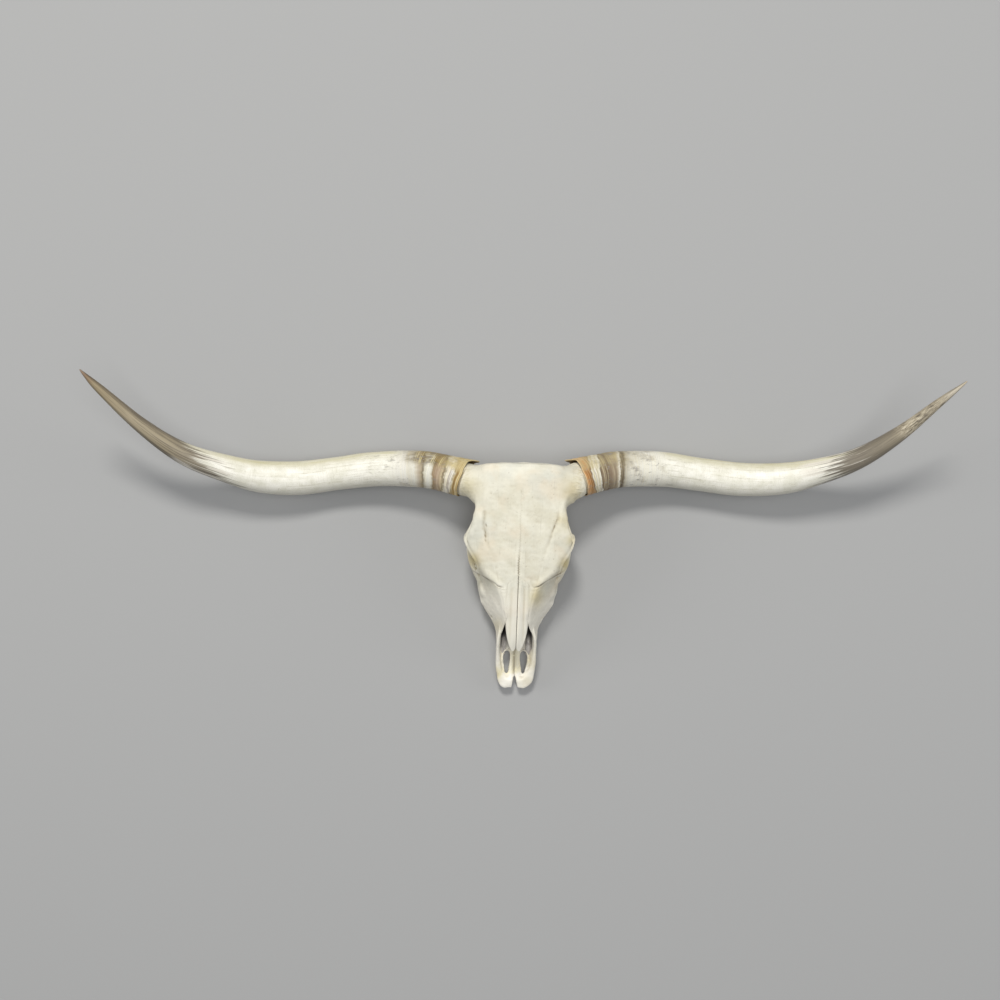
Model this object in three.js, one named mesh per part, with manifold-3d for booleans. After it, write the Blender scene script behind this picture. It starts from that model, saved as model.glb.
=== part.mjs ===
// Longhorn steer skull: still, life-size model that lies face up on its cheek teeth and the back of the skull.
// Millimetres, +Z up, +X to the animal's left, nose towards -Y. The floor is z = 0.
import * as THREE from 'three';
import { mergeVertices } from 'three/addons/utils/BufferGeometryUtils.js';
import Module from 'manifold-3d';

const wasm = await Module();
wasm.setup();

// ---- Driving dimensions -------------------------------------------------------------------------

const sutureGap = 0.3; // air between two neighbouring bones
const place = { x: 6.5, y: 1.6 }; // the two horns differ a little, so the skull sits off the middle

const halfRingSteps = 11; // facets from the crown to the sole of a head section
const barSides = 8;
const hornSides = 16;
const hornRings = 22;
const ballSides = 12;
const ballRings = 7;

// Head sections from the poll to the snout: crown height, brow corner, widest cheek point, sole.
const headSections = [
  { y: 152, top: 178, brow: 92, browZ: 168, cheek: 88, cheekZ: 146, sole: 62, bottom: 128 },
  { y: 143, top: 187, brow: 108, browZ: 172, cheek: 98, cheekZ: 138, sole: 74, bottom: 88 },
  { y: 128, top: 190, brow: 115, browZ: 172, cheek: 100, cheekZ: 134, sole: 74, bottom: 54 },
  { y: 114, top: 190, brow: 116, browZ: 173, cheek: 98, cheekZ: 126, sole: 66, bottom: 22 },
  { y: 92, top: 190, brow: 115, browZ: 174, cheek: 86, cheekZ: 120, sole: 46, bottom: 20 },
  { y: 74, top: 189, brow: 111, browZ: 174, cheek: 74, cheekZ: 112, sole: 38, bottom: 27 },
  { y: 46, top: 187, brow: 104, browZ: 171, cheek: 66, cheekZ: 108, sole: 34, bottom: 38 },
  { y: 16, top: 184, brow: 109, browZ: 166, cheek: 64, cheekZ: 106, sole: 28, bottom: 42 },
  { y: -12, top: 180, brow: 122, browZ: 157, cheek: 60, cheekZ: 104, sole: 26, bottom: 42 },
  { y: -36, top: 176, brow: 117, browZ: 150, cheek: 62, cheekZ: 98, sole: 30, bottom: 38 },
  { y: -58, top: 172, brow: 103, browZ: 150, cheek: 74, cheekZ: 92, sole: 48, bottom: 32 },
  { y: -80, top: 167, brow: 88, browZ: 149, cheek: 88, cheekZ: 86, sole: 66, bottom: 27 },
  { y: -100, top: 162, brow: 68, browZ: 149, cheek: 90, cheekZ: 78, sole: 70, bottom: 25 },
  { y: -126, top: 156, brow: 50, browZ: 146, cheek: 89, cheekZ: 66, sole: 70, bottom: 24 },
  { y: -157, top: 148, brow: 38, browZ: 138, cheek: 85, cheekZ: 56, sole: 68, bottom: 24 },
  { y: -180, top: 141, brow: 32, browZ: 130, cheek: 73, cheekZ: 54, sole: 60, bottom: 24 },
  { y: -203, top: 132, brow: 29, browZ: 118, cheek: 58, cheekZ: 54, sole: 48, bottom: 26 },
  { y: -226, top: 106, brow: 33, browZ: 98, cheek: 49, cheekZ: 55, sole: 42, bottom: 29 },
  { y: -262, top: 76, brow: 37, browZ: 70, cheek: 46, cheekZ: 48, sole: 40, bottom: 29 },
  { y: -300, top: 54, brow: 38, browZ: 49, cheek: 45, cheekZ: 38, sole: 38, bottom: 26 },
  { y: -336, top: 38, brow: 32, browZ: 35, cheek: 41, cheekZ: 29, sole: 34, bottom: 22 },
  { y: -354, top: 31, brow: 18, browZ: 30, cheek: 29, cheekZ: 26, sole: 24, bottom: 21 },
  { y: -360, top: 28, brow: 9, browZ: 27.5, cheek: 15, cheekZ: 25, sole: 12, bottom: 22 },
];

// Nasal bones: plan half width, crown height and plate thickness from the forehead to the tips.
const nasalSections = [
  { y: -96, half: 12, top: 163.5, edgeDrop: 2, thick: 6 },
  { y: -116, half: 24, top: 159, edgeDrop: 7, thick: 6 },
  { y: -160, half: 26, top: 148, edgeDrop: 10, thick: 6 },
  { y: -203, half: 25, top: 134, edgeDrop: 11, thick: 5.5 },
  { y: -226, half: 23.4, top: 125, edgeDrop: 9, thick: 5 },
  { y: -250, half: 19.4, top: 115, edgeDrop: 7, thick: 4.5 },
  { y: -265, half: 14.5, top: 108.5, edgeDrop: 4.5, thick: 4 },
];
const nasalTip = new THREE.Vector3(8.6, -272, 103);
const nasalTipThick = 2.5;

// Nasal cavity, open towards the front under the nasal bones.
const cavitySections = [
  { y: -140, half: 16, roof: 118, floor: 60 },
  { y: -175, half: 24, roof: 129, floor: 46 },
  { y: -203, half: 27, roof: 140, floor: 42 },
  { y: -228, half: 29, roof: 140, floor: 40 },
  { y: -262, half: 34.5, roof: 140, floor: 38 },
  { y: -300, half: 35, roof: 140, floor: 34 },
  { y: -326, half: 28, roof: 140, floor: 31 },
];

// Eye socket: middle of the opening, rim and how far it faces forward and up.
const orbit = {
  x: 107,
  y: -52,
  z: 117,
  socket: 31,
  rimRadius: 36,
  rimThick: 8,
  rimDepth: 14,
  rimSteps: 14,
  forwardTurn: -0.3,
  upTurn: 0.22,
};

// Palatine fissures: two slots through the floor of the snout.
const fissure = { inner: 12.5, outer: 25, back: -276, front: -325, frontInner: 16, frontOuter: 21 };
const snoutNotch = { half: 4.5, back: -332 };

// Palate vault between the tooth rows.
const palate = { half: 40, height: 12, back: -36, front: -276 };

// Suture between the face and the forehead: plan corners on one side, and how it leans back going down.
const faceSuture = [
  [0, -84],
  [14, -88],
  [28, -118],
  [40, -125],
  [52, -119],
  [64, -113],
  [80, -109],
  [140, -109],
];
const faceSutureLean = 0.26;
const faceSutureLevel = 150;

// Suture between maxilla and premaxilla: a plane that leans back going up, as far as the nasal slit.
const snoutSuture = { y: -288, level: 30, lean: 1.05, back: -207 };

// Cheek teeth, front to back: place along the row, half width across, half length, distance from the middle.
const teeth = [
  { y: -207, across: 7, along: 8, x: 47 },
  { y: -190, across: 8.5, along: 8.5, x: 51 },
  { y: -172, across: 10, along: 9, x: 55 },
  { y: -150, across: 11, along: 12, x: 59 },
  { y: -124, across: 11.5, along: 13, x: 61 },
  { y: -97, across: 11, along: 13, x: 61 },
];
const toothTop = 34;

// Horn stations from the base to the tip: centre and radius.
const hornLeft = [
  [134, 128, 112, 43.4],
  [177, 139, 91, 42],
  [223, 148, 76, 41.4],
  [316, 152, 58, 39.8],
  [408, 143, 52, 38.1],
  [498, 135, 57, 38],
  [586, 139, 76, 35.8],
  [670, 159, 102, 29.6],
  [750, 191, 136, 23.4],
  [825, 245, 178, 16.6],
  [894, 312, 228, 9.4],
  [931, 347, 256, 3.4],
  [940, 356, 262, 1.2],
];
const hornRight = [
  [-131, 118, 112, 43.4],
  [-184, 128, 88, 41.8],
  [-230, 134, 76, 41.5],
  [-322, 132, 58, 39.6],
  [-414, 119, 52, 38],
  [-504, 105, 57, 38.6],
  [-592, 105, 76, 36.2],
  [-678, 124, 102, 29.8],
  [-761, 154, 136, 23.6],
  [-840, 209, 178, 16.7],
  [-916, 280, 228, 10],
  [-944, 309, 249, 4],
  [-953, 319, 255, 1.2],
];
const sheathWall = 6;
const sheathSeat = 0.5; // the sheath's rim stands this far off the bone
const coreClearance = 1.6;
const coreDrop = 1.2;
const coreRoot = { x: 78, y: 112, z: 142, radius: 40 };

// ---- Geometry helpers ---------------------------------------------------------------------------

// Turns a geometry into a manifold solid with its faces outward.
function solid(geometry) {
  const bare = geometry.index ? geometry.clone() : geometry;
  bare.deleteAttribute('normal');
  bare.deleteAttribute('uv');
  const welded = mergeVertices(bare, 1e-4);
  const indices = Uint32Array.from(welded.index.array);
  const vertices = Float32Array.from(welded.attributes.position.array);
  const made = buildManifold(vertices, indices);
  return made.volume() > 0 ? made : buildManifold(vertices, flipped(indices));
}

function buildManifold(vertProperties, triVerts) {
  return new wasm.Manifold(new wasm.Mesh({ numProp: 3, vertProperties, triVerts }));
}

function flipped(indices) {
  const turned = Uint32Array.from(indices);
  for (let i = 0; i < turned.length; i += 3) {
    [turned[i + 1], turned[i + 2]] = [turned[i + 2], turned[i + 1]];
  }
  return turned;
}

// Skins a row of equal rings and closes both ends with fans.
function loft(rings) {
  const count = rings[0].length;
  const positions = ringPositions(rings);
  const indices = ringBands(rings, rings.length - 1);
  addFan(positions, indices, rings[0], 0, true);
  addFan(positions, indices, rings[rings.length - 1], (rings.length - 1) * count, false);
  return solidFrom(positions, indices);
}

// Skins a row of equal rings that comes back to its start.
function closedLoft(rings) {
  return solidFrom(ringPositions(rings), ringBands(rings, rings.length));
}

function ringPositions(rings) {
  return rings.flat().flatMap((point) => [point.x, point.y, point.z]);
}

function ringBands(rings, bands) {
  const count = rings[0].length;
  const indices = [];
  for (let r = 0; r < bands; r += 1) {
    const next = ((r + 1) % rings.length) * count;
    for (let i = 0; i < count; i += 1) {
      const j = (i + 1) % count;
      indices.push(r * count + i, r * count + j, next + j);
      indices.push(r * count + i, next + j, next + i);
    }
  }
  return indices;
}

function solidFrom(positions, indices) {
  const geometry = new THREE.BufferGeometry();
  geometry.setAttribute('position', new THREE.Float32BufferAttribute(positions, 3));
  geometry.setIndex(indices);
  return solid(geometry);
}

function addFan(positions, indices, ring, first, reversed) {
  const centre = ring.reduce((sum, point) => sum.add(point), new THREE.Vector3()).divideScalar(ring.length);
  const hub = positions.length / 3;
  positions.push(centre.x, centre.y, centre.z);
  for (let i = 0; i < ring.length; i += 1) {
    const a = first + i;
    const b = first + ((i + 1) % ring.length);
    if (reversed) {
      indices.push(hub, b, a);
    } else {
      indices.push(hub, a, b);
    }
  }
}

// Ring across the Y axis from a half profile given as [x, z] corners, crown first, sole last.
function mirroredRing(y, corners, steps) {
  const profile = new THREE.CatmullRomCurve3(corners.map(([x, z]) => new THREE.Vector3(x, y, z)));
  const half = profile.getSpacedPoints(steps);
  const other = half.slice(1, -1).reverse();
  return [...half, ...other.map((point) => new THREE.Vector3(-point.x, point.y, point.z))];
}

function headRing(section) {
  const corners = [
    [0, section.top],
    [section.brow * 0.62, section.top - (section.top - section.browZ) * 0.3],
    [section.brow, section.browZ],
    [section.cheek, section.cheekZ],
    [section.sole, section.bottom + 3],
    [0, section.bottom],
  ];
  return mirroredRing(section.y, corners, halfRingSteps);
}

function nasalRing(section, side, grow) {
  const { y, half, top, edgeDrop, thick } = section;
  const inner = sutureGap / 2 - grow;
  const outer = half + grow;
  const upper = [0, 0.35, 0.7, 1].map((t) => [inner + (outer - inner) * t, top + grow - edgeDrop * t * t]);
  const lower = [1, 0.5, 0].map((t) => [inner + (outer - inner) * t, top - grow - thick - edgeDrop * t * t]);
  return [...upper, ...lower].map(([x, z]) => new THREE.Vector3(x * side, y, z));
}

function nasalTipRing(side, grow) {
  const last = nasalSections[nasalSections.length - 1];
  const ring = nasalRing(last, side, grow);
  const centre = nasalTip.clone();
  centre.x *= side;
  return ring.map((point) => {
    const across = (point.x - centre.x) * 0.22;
    const up = point.z > last.top - last.thick + 1.5 ? nasalTipThick / 2 : -nasalTipThick / 2;
    return new THREE.Vector3(centre.x + across, centre.y, centre.z + up + Math.abs(across) * 0.1);
  });
}

function nasalBone(side, grow) {
  const rings = nasalSections.map((section) => nasalRing(section, side, grow));
  return loft([...rings, nasalTipRing(side, grow)]);
}

function ball(x, y, z, rx, ry, rz) {
  const geometry = new THREE.SphereGeometry(1, ballSides, ballRings);
  geometry.scale(rx, ry, rz);
  geometry.translate(x, y, z);
  return solid(geometry);
}

// Round bar through [x, y, z, radius] stations, with a ring square to the path at each step.
function bar(stations, steps, sides = barSides) {
  const path = new THREE.CatmullRomCurve3(stations.map(([x, y, z]) => new THREE.Vector3(x, y, z)));
  const rings = [];
  for (let i = 0; i <= steps; i += 1) {
    const along = (i / steps) * (stations.length - 1);
    rings.push(ringOnPath(path, along / (stations.length - 1), radiusAt(stations, along), sides));
  }
  return loft(rings);
}

function radiusAt(stations, along) {
  const before = Math.min(Math.floor(along), stations.length - 2);
  return THREE.MathUtils.lerp(stations[before][3], stations[before + 1][3], along - before);
}

function ringOnPath(path, t, radius, sides) {
  const centre = path.getPoint(t);
  const tangent = path.getTangent(t);
  const up = Math.abs(tangent.z) > 0.9 ? new THREE.Vector3(0, 1, 0) : new THREE.Vector3(0, 0, 1);
  const side = new THREE.Vector3().crossVectors(tangent, up).normalize();
  const lift = new THREE.Vector3().crossVectors(side, tangent).normalize();
  const ring = [];
  for (let i = 0; i < sides; i += 1) {
    const angle = (i / sides) * Math.PI * 2;
    const point = centre.clone();
    point.addScaledVector(side, radius * Math.cos(angle));
    point.addScaledVector(lift, radius * Math.sin(angle));
    ring.push(point);
  }
  return ring;
}

// Block between two corners, leaned along Y by the given amount for each millimetre above a level.
function leaningBlock(min, max, level, lean) {
  const geometry = new THREE.BoxGeometry(max[0] - min[0], max[1] - min[1], max[2] - min[2]);
  geometry.translate((min[0] + max[0]) / 2, (min[1] + max[1]) / 2, (min[2] + max[2]) / 2);
  leanAlongY(geometry, level, lean);
  return solid(geometry);
}

function leanAlongY(geometry, level, lean) {
  const position = geometry.attributes.position;
  for (let i = 0; i < position.count; i += 1) {
    position.setY(i, position.getY(i) + (position.getZ(i) - level) * lean);
  }
}

function plate(corners, bottom, top) {
  const shape = new THREE.Shape(corners.map(([x, y]) => new THREE.Vector2(x, y)));
  const geometry = new THREE.ExtrudeGeometry(shape, { depth: top - bottom, bevelEnabled: false });
  geometry.translate(0, 0, bottom);
  return geometry;
}

function join(pieces) {
  return pieces.reduce((whole, piece) => whole.add(piece));
}

function cut(whole, tools) {
  return tools.reduce((left, tool) => left.subtract(tool), whole);
}

function bothSides(make) {
  return [make(1), make(-1)];
}

// ---- The skull as one solid ---------------------------------------------------------------------

function cheekTooth(side, tooth) {
  const rings = [0, 4, toothTop].map((z) => {
    const worn = z === 0 ? 0.9 : 1;
    const ring = [];
    for (let i = 0; i < 10; i += 1) {
      const angle = (i / 10) * Math.PI * 2;
      const x = side * tooth.x + tooth.across * worn * Math.cos(angle);
      ring.push(new THREE.Vector3(x, tooth.y + tooth.along * worn * Math.sin(angle), z));
    }
    return ring;
  });
  return loft(rings);
}

function zygomaticArch(side) {
  return bar([
    [side * 80, -128, 66, 13],
    [side * 94, -100, 78, 15],
    [side * 104, -76, 84, 12],
    [side * 107, -44, 78, 10],
    [side * 107, -10, 78, 10],
    [side * 102, 24, 84, 9],
    [side * 90, 54, 93, 10],
    [side * 74, 74, 98, 14],
  ], 13);
}

// Bony ring round the eye: over the brow, down behind the eye, along the cheek and up the tear bone.
function orbitRim(side) {
  const rings = [];
  for (let i = 0; i < orbit.rimSteps; i += 1) {
    const turn = (i / orbit.rimSteps) * Math.PI * 2;
    const out = new THREE.Vector3(0, Math.cos(turn), Math.sin(turn));
    const ring = [];
    for (let j = 0; j < barSides; j += 1) {
      const angle = (j / barSides) * Math.PI * 2;
      const reach = orbit.rimRadius + orbit.rimThick * Math.cos(angle);
      const depth = orbit.rimDepth * Math.sin(angle) - orbit.forwardTurn * out.y * reach - orbit.upTurn * out.z * reach;
      ring.push(new THREE.Vector3(side * (orbit.x + depth), orbit.y + out.y * reach, orbit.z + out.z * reach));
    }
    rings.push(ring);
  }
  return closedLoft(rings);
}

function hindSkull(side) {
  return [
    ball(side * 31, 116, 23, 19, 19, 25),
    ball(side * 43, 62, 32, 15, 18, 20),
    bar([[side * 66, 104, 62, 17], [side * 64, 98, 34, 11], [side * 58, 92, 12, 9], [side * 57, 91, -6, 7.5]], 6),
    ball(side * 84, 112, 108, 24, 28, 54),
    ball(side * 20, -8, 40, 7, 40, 24),
  ];
}

function hornCore(side, stations) {
  const [base, next, far] = stations;
  const inside = (station, share) => [
    station[0],
    station[1],
    station[2] - coreDrop,
    (station[3] - sheathWall - coreClearance) * share,
  ];
  return bar([
    [side * coreRoot.x, coreRoot.y, coreRoot.z, coreRoot.radius],
    [base[0], base[1], base[2] - coreDrop, base[3] - sheathWall - coreClearance],
    inside(next, 0.97),
    inside(far, 0.9),
  ], 7, hornSides);
}

function wholeSkull() {
  const head = loft(headSections.map(headRing));
  const braincase = ball(0, 52, 108, 68, 84, 70);
  const added = [
    braincase,
    ...bothSides(zygomaticArch),
    ...bothSides(orbitRim),
    ...bothSides(hindSkull).flat(),
    hornCore(1, hornLeft),
    hornCore(-1, hornRight),
  ];
  const skull = join([head, ...added]);
  const hollowed = cut(skull, skullOpenings());
  const toothed = join([hollowed, ...bothSides((side) => join(teeth.map((tooth) => cheekTooth(side, tooth))))]);
  return toothed.subtract(leaningBlock([-300, -500, -60], [300, 300, 0], 0, 0));
}

function skullOpenings() {
  return [
    nasalCavity(),
    palateVault(),
    ball(0, 140, 46, 19, 46, 18),
    ...bothSides((side) => ball(side * (orbit.x + 10), orbit.y, orbit.z, 46, orbit.socket, orbit.socket)),
    ...bothSides((side) => ball(side * 92, 24, 108, 24, 40, 30)),
    ...bothSides((side) => ball(side * 82, -26, 62, 20, 34, 22)),
    ...bothSides((side) => ball(side * 66, -208, 60, 12, 11, 6)),
    ...bothSides(palatineFissure),
    frontNotch(),
  ];
}

function nasalCavity() {
  const rings = cavitySections.map(({ y, half, roof, floor }) => mirroredRing(y, [
    [0, roof],
    [half * 0.8, roof - 4],
    [half, (roof + floor) / 2],
    [half * 0.9, floor + 6],
    [0, floor],
  ], 8));
  return loft(rings);
}

function palateVault() {
  const middle = (palate.back + palate.front) / 2;
  const length = palate.back - palate.front;
  return ball(0, middle, 20, palate.half, length * 0.58, palate.height);
}

function palatineFissure(side) {
  const corners = [
    [fissure.inner, fissure.back],
    [fissure.outer, fissure.back - 6],
    [fissure.outer, fissure.front + 20],
    [fissure.frontOuter, fissure.front],
    [fissure.frontInner, fissure.front - 1],
    [fissure.inner, fissure.front + 18],
  ];
  return solid(plate(corners.map(([x, y]) => [side * x, y]), 0, 60));
}

function frontNotch() {
  const { half, back } = snoutNotch;
  return solid(plate([[-half, -400], [half, -400], [half * 0.6, back - 6], [0, back], [-half * 0.6, back - 6]], 0, 60));
}

// ---- Parting the skull into its bones ------------------------------------------------------------

function faceRegion(side, grow) {
  const inner = sutureGap / 2 - grow;
  const corners = faceSuture.map(([x, y]) => [Math.max(x, inner) * side, y + grow]);
  corners[0][0] = inner * side;
  const geometry = plate([...corners, [140 * side, -420], [inner * side, -420]], -20, 240);
  leanAlongY(geometry, faceSutureLevel, -faceSutureLean);
  return solid(geometry);
}

function snoutRegion(side, grow) {
  const inner = sutureGap / 2 - grow;
  const xs = [inner * side, 140 * side].sort((a, b) => a - b);
  const min = [xs[0], -460, -20];
  const max = [xs[1], snoutSuture.y + grow, 240];
  const leaning = leaningBlock(min, max, snoutSuture.level, snoutSuture.lean);
  return leaning.intersect(leaningBlock([xs[0], -460, -20], [xs[1], snoutSuture.back + grow, 240], 0, 0));
}

function partSkull(skull) {
  const nasals = bothSides((side) => nasalBone(side, 0));
  const bed = join(bothSides((side) => nasalBone(side, sutureGap)));
  const rest = skull.subtract(bed);
  const cranium = cut(rest, bothSides((side) => faceRegion(side, sutureGap)));
  const faces = bothSides((side) => rest.intersect(faceRegion(side, 0)));
  const [maxillaLeft, maxillaRight] = [1, -1].map((side, i) => faces[i].subtract(snoutRegion(side, sutureGap)));
  const [premaxillaLeft, premaxillaRight] = [1, -1].map((side, i) => faces[i].intersect(snoutRegion(side, 0)));
  return { cranium, nasals, maxillaLeft, maxillaRight, premaxillaLeft, premaxillaRight };
}

// Keeps the largest body, so no crumb that a cut leaves behind stays loose.
function largest(whole) {
  return whole.decompose().sort((a, b) => b.volume() - a.volume())[0];
}

// Horn sheath with a blind hollow over the core, cleared by a suture gap wherever it meets the skull.
function hornSheath(stations, skull) {
  const side = Math.sign(stations[0][0]);
  const outer = bar(stations, hornRings, hornSides);
  const inner = stations.slice(0, 3).map(([x, y, z, radius]) => [x, y, z, radius - sheathWall]);
  const reach = new THREE.Vector3(...stations[0]).sub(new THREE.Vector3(...stations[1])).setLength(20);
  const mouth = [stations[0][0] + reach.x, stations[0][1] + reach.y, stations[0][2] + reach.z, inner[0][3]];
  const hollow = bar([mouth, ...inner], 6, hornSides);
  return cut(outer, [hollow, skull, skull.translate([side * sheathSeat, 0, 0])]);
}

// ---- Nodes ---------------------------------------------------------------------------------------

const boneColour = 0xe9e2d0;
const paleBoneColour = 0xf1ebda;
const hornColour = 0xeee8d2;

function material(colour, roughness) {
  return new THREE.MeshStandardMaterial({ color: colour, roughness, metalness: 0 });
}

function node(name, made, colour, roughness) {
  const { vertProperties, triVerts, numProp } = largest(made).getMesh();
  const geometry = new THREE.BufferGeometry();
  const positions = [];
  for (let i = 0; i < vertProperties.length; i += numProp) {
    positions.push(vertProperties[i] + place.x, vertProperties[i + 1] + place.y, vertProperties[i + 2]);
  }
  geometry.setAttribute('position', new THREE.Float32BufferAttribute(positions, 3));
  geometry.setIndex(Array.from(triVerts));
  geometry.computeVertexNormals();
  const mesh = new THREE.Mesh(geometry, material(colour, roughness));
  mesh.name = name;
  return mesh;
}

const skull = wholeSkull();
const bones = partSkull(skull);
const group = new THREE.Group();
group.name = 'longhorn_steer_skull';
group.add(node('cranium', bones.cranium, boneColour, 0.72));
group.add(node('nasal_left', bones.nasals[0], boneColour, 0.68));
group.add(node('nasal_right', bones.nasals[1], boneColour, 0.68));
group.add(node('maxilla_left', bones.maxillaLeft, boneColour, 0.72));
group.add(node('maxilla_right', bones.maxillaRight, boneColour, 0.72));
group.add(node('premaxilla_left', bones.premaxillaLeft, paleBoneColour, 0.7));
group.add(node('premaxilla_right', bones.premaxillaRight, paleBoneColour, 0.7));
group.add(node('horn_left', hornSheath(hornLeft, skull), hornColour, 0.38));
group.add(node('horn_right', hornSheath(hornRight, skull), hornColour, 0.38));

export default group;
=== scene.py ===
import math
import bpy
import numpy as np
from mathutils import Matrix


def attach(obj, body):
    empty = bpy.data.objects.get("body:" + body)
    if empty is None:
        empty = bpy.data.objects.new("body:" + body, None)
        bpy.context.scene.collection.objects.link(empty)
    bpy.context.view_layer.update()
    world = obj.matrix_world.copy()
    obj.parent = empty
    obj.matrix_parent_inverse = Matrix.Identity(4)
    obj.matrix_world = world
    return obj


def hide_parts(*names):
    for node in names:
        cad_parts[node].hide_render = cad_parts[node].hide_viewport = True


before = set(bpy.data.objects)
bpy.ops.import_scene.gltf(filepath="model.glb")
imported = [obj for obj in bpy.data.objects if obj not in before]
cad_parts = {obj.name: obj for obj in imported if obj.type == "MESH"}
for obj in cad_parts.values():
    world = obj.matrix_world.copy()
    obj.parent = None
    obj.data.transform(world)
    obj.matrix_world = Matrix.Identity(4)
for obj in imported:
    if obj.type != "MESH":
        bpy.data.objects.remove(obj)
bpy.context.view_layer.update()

# Longhorn steer skull, lying face up. The tables are in millimetres about the skull's middle line,
# +x to the animal's left, -y towards the nose, floor at z = 0.

mm = 0.001
skullPlace = np.array([6.5, 1.6, 0.0])   # the middle line of the skull in the frame


def clearSelection():
    bpy.ops.object.select_all(action="DESELECT")


def pick(*objs):
    clearSelection()
    for obj in objs:
        obj.select_set(True)
    bpy.context.view_layer.objects.active = objs[0]


def settle(obj):
    pick(obj)
    bpy.ops.object.transform_apply(location=True, rotation=True, scale=True)
    return obj


def readPoints(obj):
    flat = np.empty(len(obj.data.vertices) * 3)
    obj.data.vertices.foreach_get("co", flat)
    return flat.reshape(-1, 3) / mm


def readNormals(obj):
    flat = np.empty(len(obj.data.vertices) * 3)
    obj.data.vertices.foreach_get("normal", flat)
    return flat.reshape(-1, 3)


def writePoints(obj, points):
    obj.data.vertices.foreach_set("co", (points * mm).ravel())
    obj.data.update()


def writeMask(obj, name, values):
    layer = obj.data.attributes.get(name) or obj.data.attributes.new(name, "FLOAT", "POINT")
    layer.data.foreach_set("value", np.asarray(values, dtype=np.float32))


def faceOut(obj):
    pick(obj)
    bpy.ops.object.mode_set(mode="EDIT")
    bpy.ops.mesh.select_all(action="SELECT")
    bpy.ops.mesh.normals_make_consistent(inside=False)
    bpy.ops.object.mode_set(mode="OBJECT")
    return obj


def useModifier(obj, kind, **settings):
    pick(obj)
    modifier = obj.modifiers.new(kind.lower(), kind)
    for key, value in settings.items():
        setattr(modifier, key, value)
    bpy.ops.object.modifier_apply(modifier=modifier.name)
    return obj


def joinUp(name, pieces):
    pick(*pieces)
    if len(pieces) > 1:
        bpy.ops.object.join()
    pieces[0].name = name
    return pieces[0]


def fuse(obj, voxel, rounds):
    useModifier(obj, "REMESH", mode="VOXEL", voxel_size=voxel * mm)
    if rounds:
        useModifier(obj, "SMOOTH", factor=0.5, iterations=rounds)
    return obj


def carve(obj, cutter, operation="DIFFERENCE", solver="MANIFOLD"):
    useModifier(obj, "BOOLEAN", operation=operation, solver=solver, object=cutter)
    bpy.data.objects.remove(cutter, do_unlink=True)
    return obj


def copyOf(obj, name):
    made = obj.copy()
    made.data = obj.data.copy()
    made.name = name
    bpy.context.collection.objects.link(made)
    return made


def smoothTable(keys, rows, at):
    # smooth values between the rows of a table, with no overshoot
    keys, rows = np.asarray(keys, float), np.asarray(rows, float)
    steps = np.diff(keys)[:, None]
    slopes = np.diff(rows, axis=0) / steps
    turns = np.zeros_like(rows)
    turns[0], turns[-1] = slopes[0], slopes[-1]
    same = slopes[:-1] * slopes[1:] > 0
    mean = 2 * slopes[:-1] * slopes[1:] / np.where(same, slopes[:-1] + slopes[1:], 1)
    turns[1:-1] = np.where(same, mean, 0)
    spot = np.clip(np.searchsorted(keys, at, side="right") - 1, 0, len(keys) - 2)
    width = (keys[spot + 1] - keys[spot])[:, None]
    t = (np.asarray(at)[:, None] - keys[spot][:, None]) / width
    return ((2 * t**3 - 3 * t**2 + 1) * rows[spot] + (t**3 - 2 * t**2 + t) * width * turns[spot]
            + (3 * t**2 - 2 * t**3) * rows[spot + 1] + (t**3 - t**2) * width * turns[spot + 1])


def threaded(points, count):
    # Catmull-Rom thread through the points, evenly spaced
    points = np.asarray(points, float)
    padded = np.vstack([2 * points[0] - points[1], points, 2 * points[-1] - points[-2]])
    spots = np.linspace(0, len(points) - 1 - 1e-9, count * 6)
    i = spots.astype(int)
    t = (spots - i)[:, None]
    a, b, c, d = padded[i], padded[i + 1], padded[i + 2], padded[i + 3]
    thread = 0.5 * (2 * b + (c - a) * t + (2 * a - 5 * b + 4 * c - d) * t**2
                    + (3 * b - a - 3 * c + d) * t**3)
    run = np.r_[0, np.cumsum(np.linalg.norm(np.diff(thread[:, :3], axis=0), axis=1))]
    even = np.linspace(0, run[-1], count)
    return np.stack([np.interp(even, run, thread[:, k]) for k in range(thread.shape[1])], axis=1)


def ripple(points, size, seed, waves=14):
    # soft bumps of about that size, from -1 to 1, the same each time
    rng = np.random.default_rng(seed)
    ways = rng.normal(size=(waves, 3))
    ways /= np.linalg.norm(ways, axis=1)[:, None]
    lengths = size * rng.uniform(0.6, 1.6, waves)
    phases = rng.uniform(0, 2 * math.pi, waves)
    total = np.zeros(len(points))
    for way, length, phase in zip(ways, lengths, phases):
        total += np.sin(points @ way * 2 * math.pi / length + phase)
    return total / math.sqrt(waves)


def nearLine(points, line):
    # distance in plan from a line of [x, y] corners, and how far along it (0 to 1)
    line = np.asarray(line, float)
    best = np.full(len(points), 1e9)
    along = np.zeros(len(points))
    for k in range(len(line) - 1):
        a, way = line[k], line[k + 1] - line[k]
        t = np.clip(((points[:, :2] - a) @ way) / (way @ way), 0, 1)
        gap = np.linalg.norm(points[:, :2] - a - t[:, None] * way, axis=1)
        closer = gap < best
        best[closer] = gap[closer]
        along[closer] = (k + t[closer]) / (len(line) - 1)
    return best, along


def bell(distance, width):
    return np.exp(-(distance / width)**2)


def ease(value, low, high):
    t = np.clip((value - low) / (high - low), 0, 1)
    return t * t * (3 - 2 * t)


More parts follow.
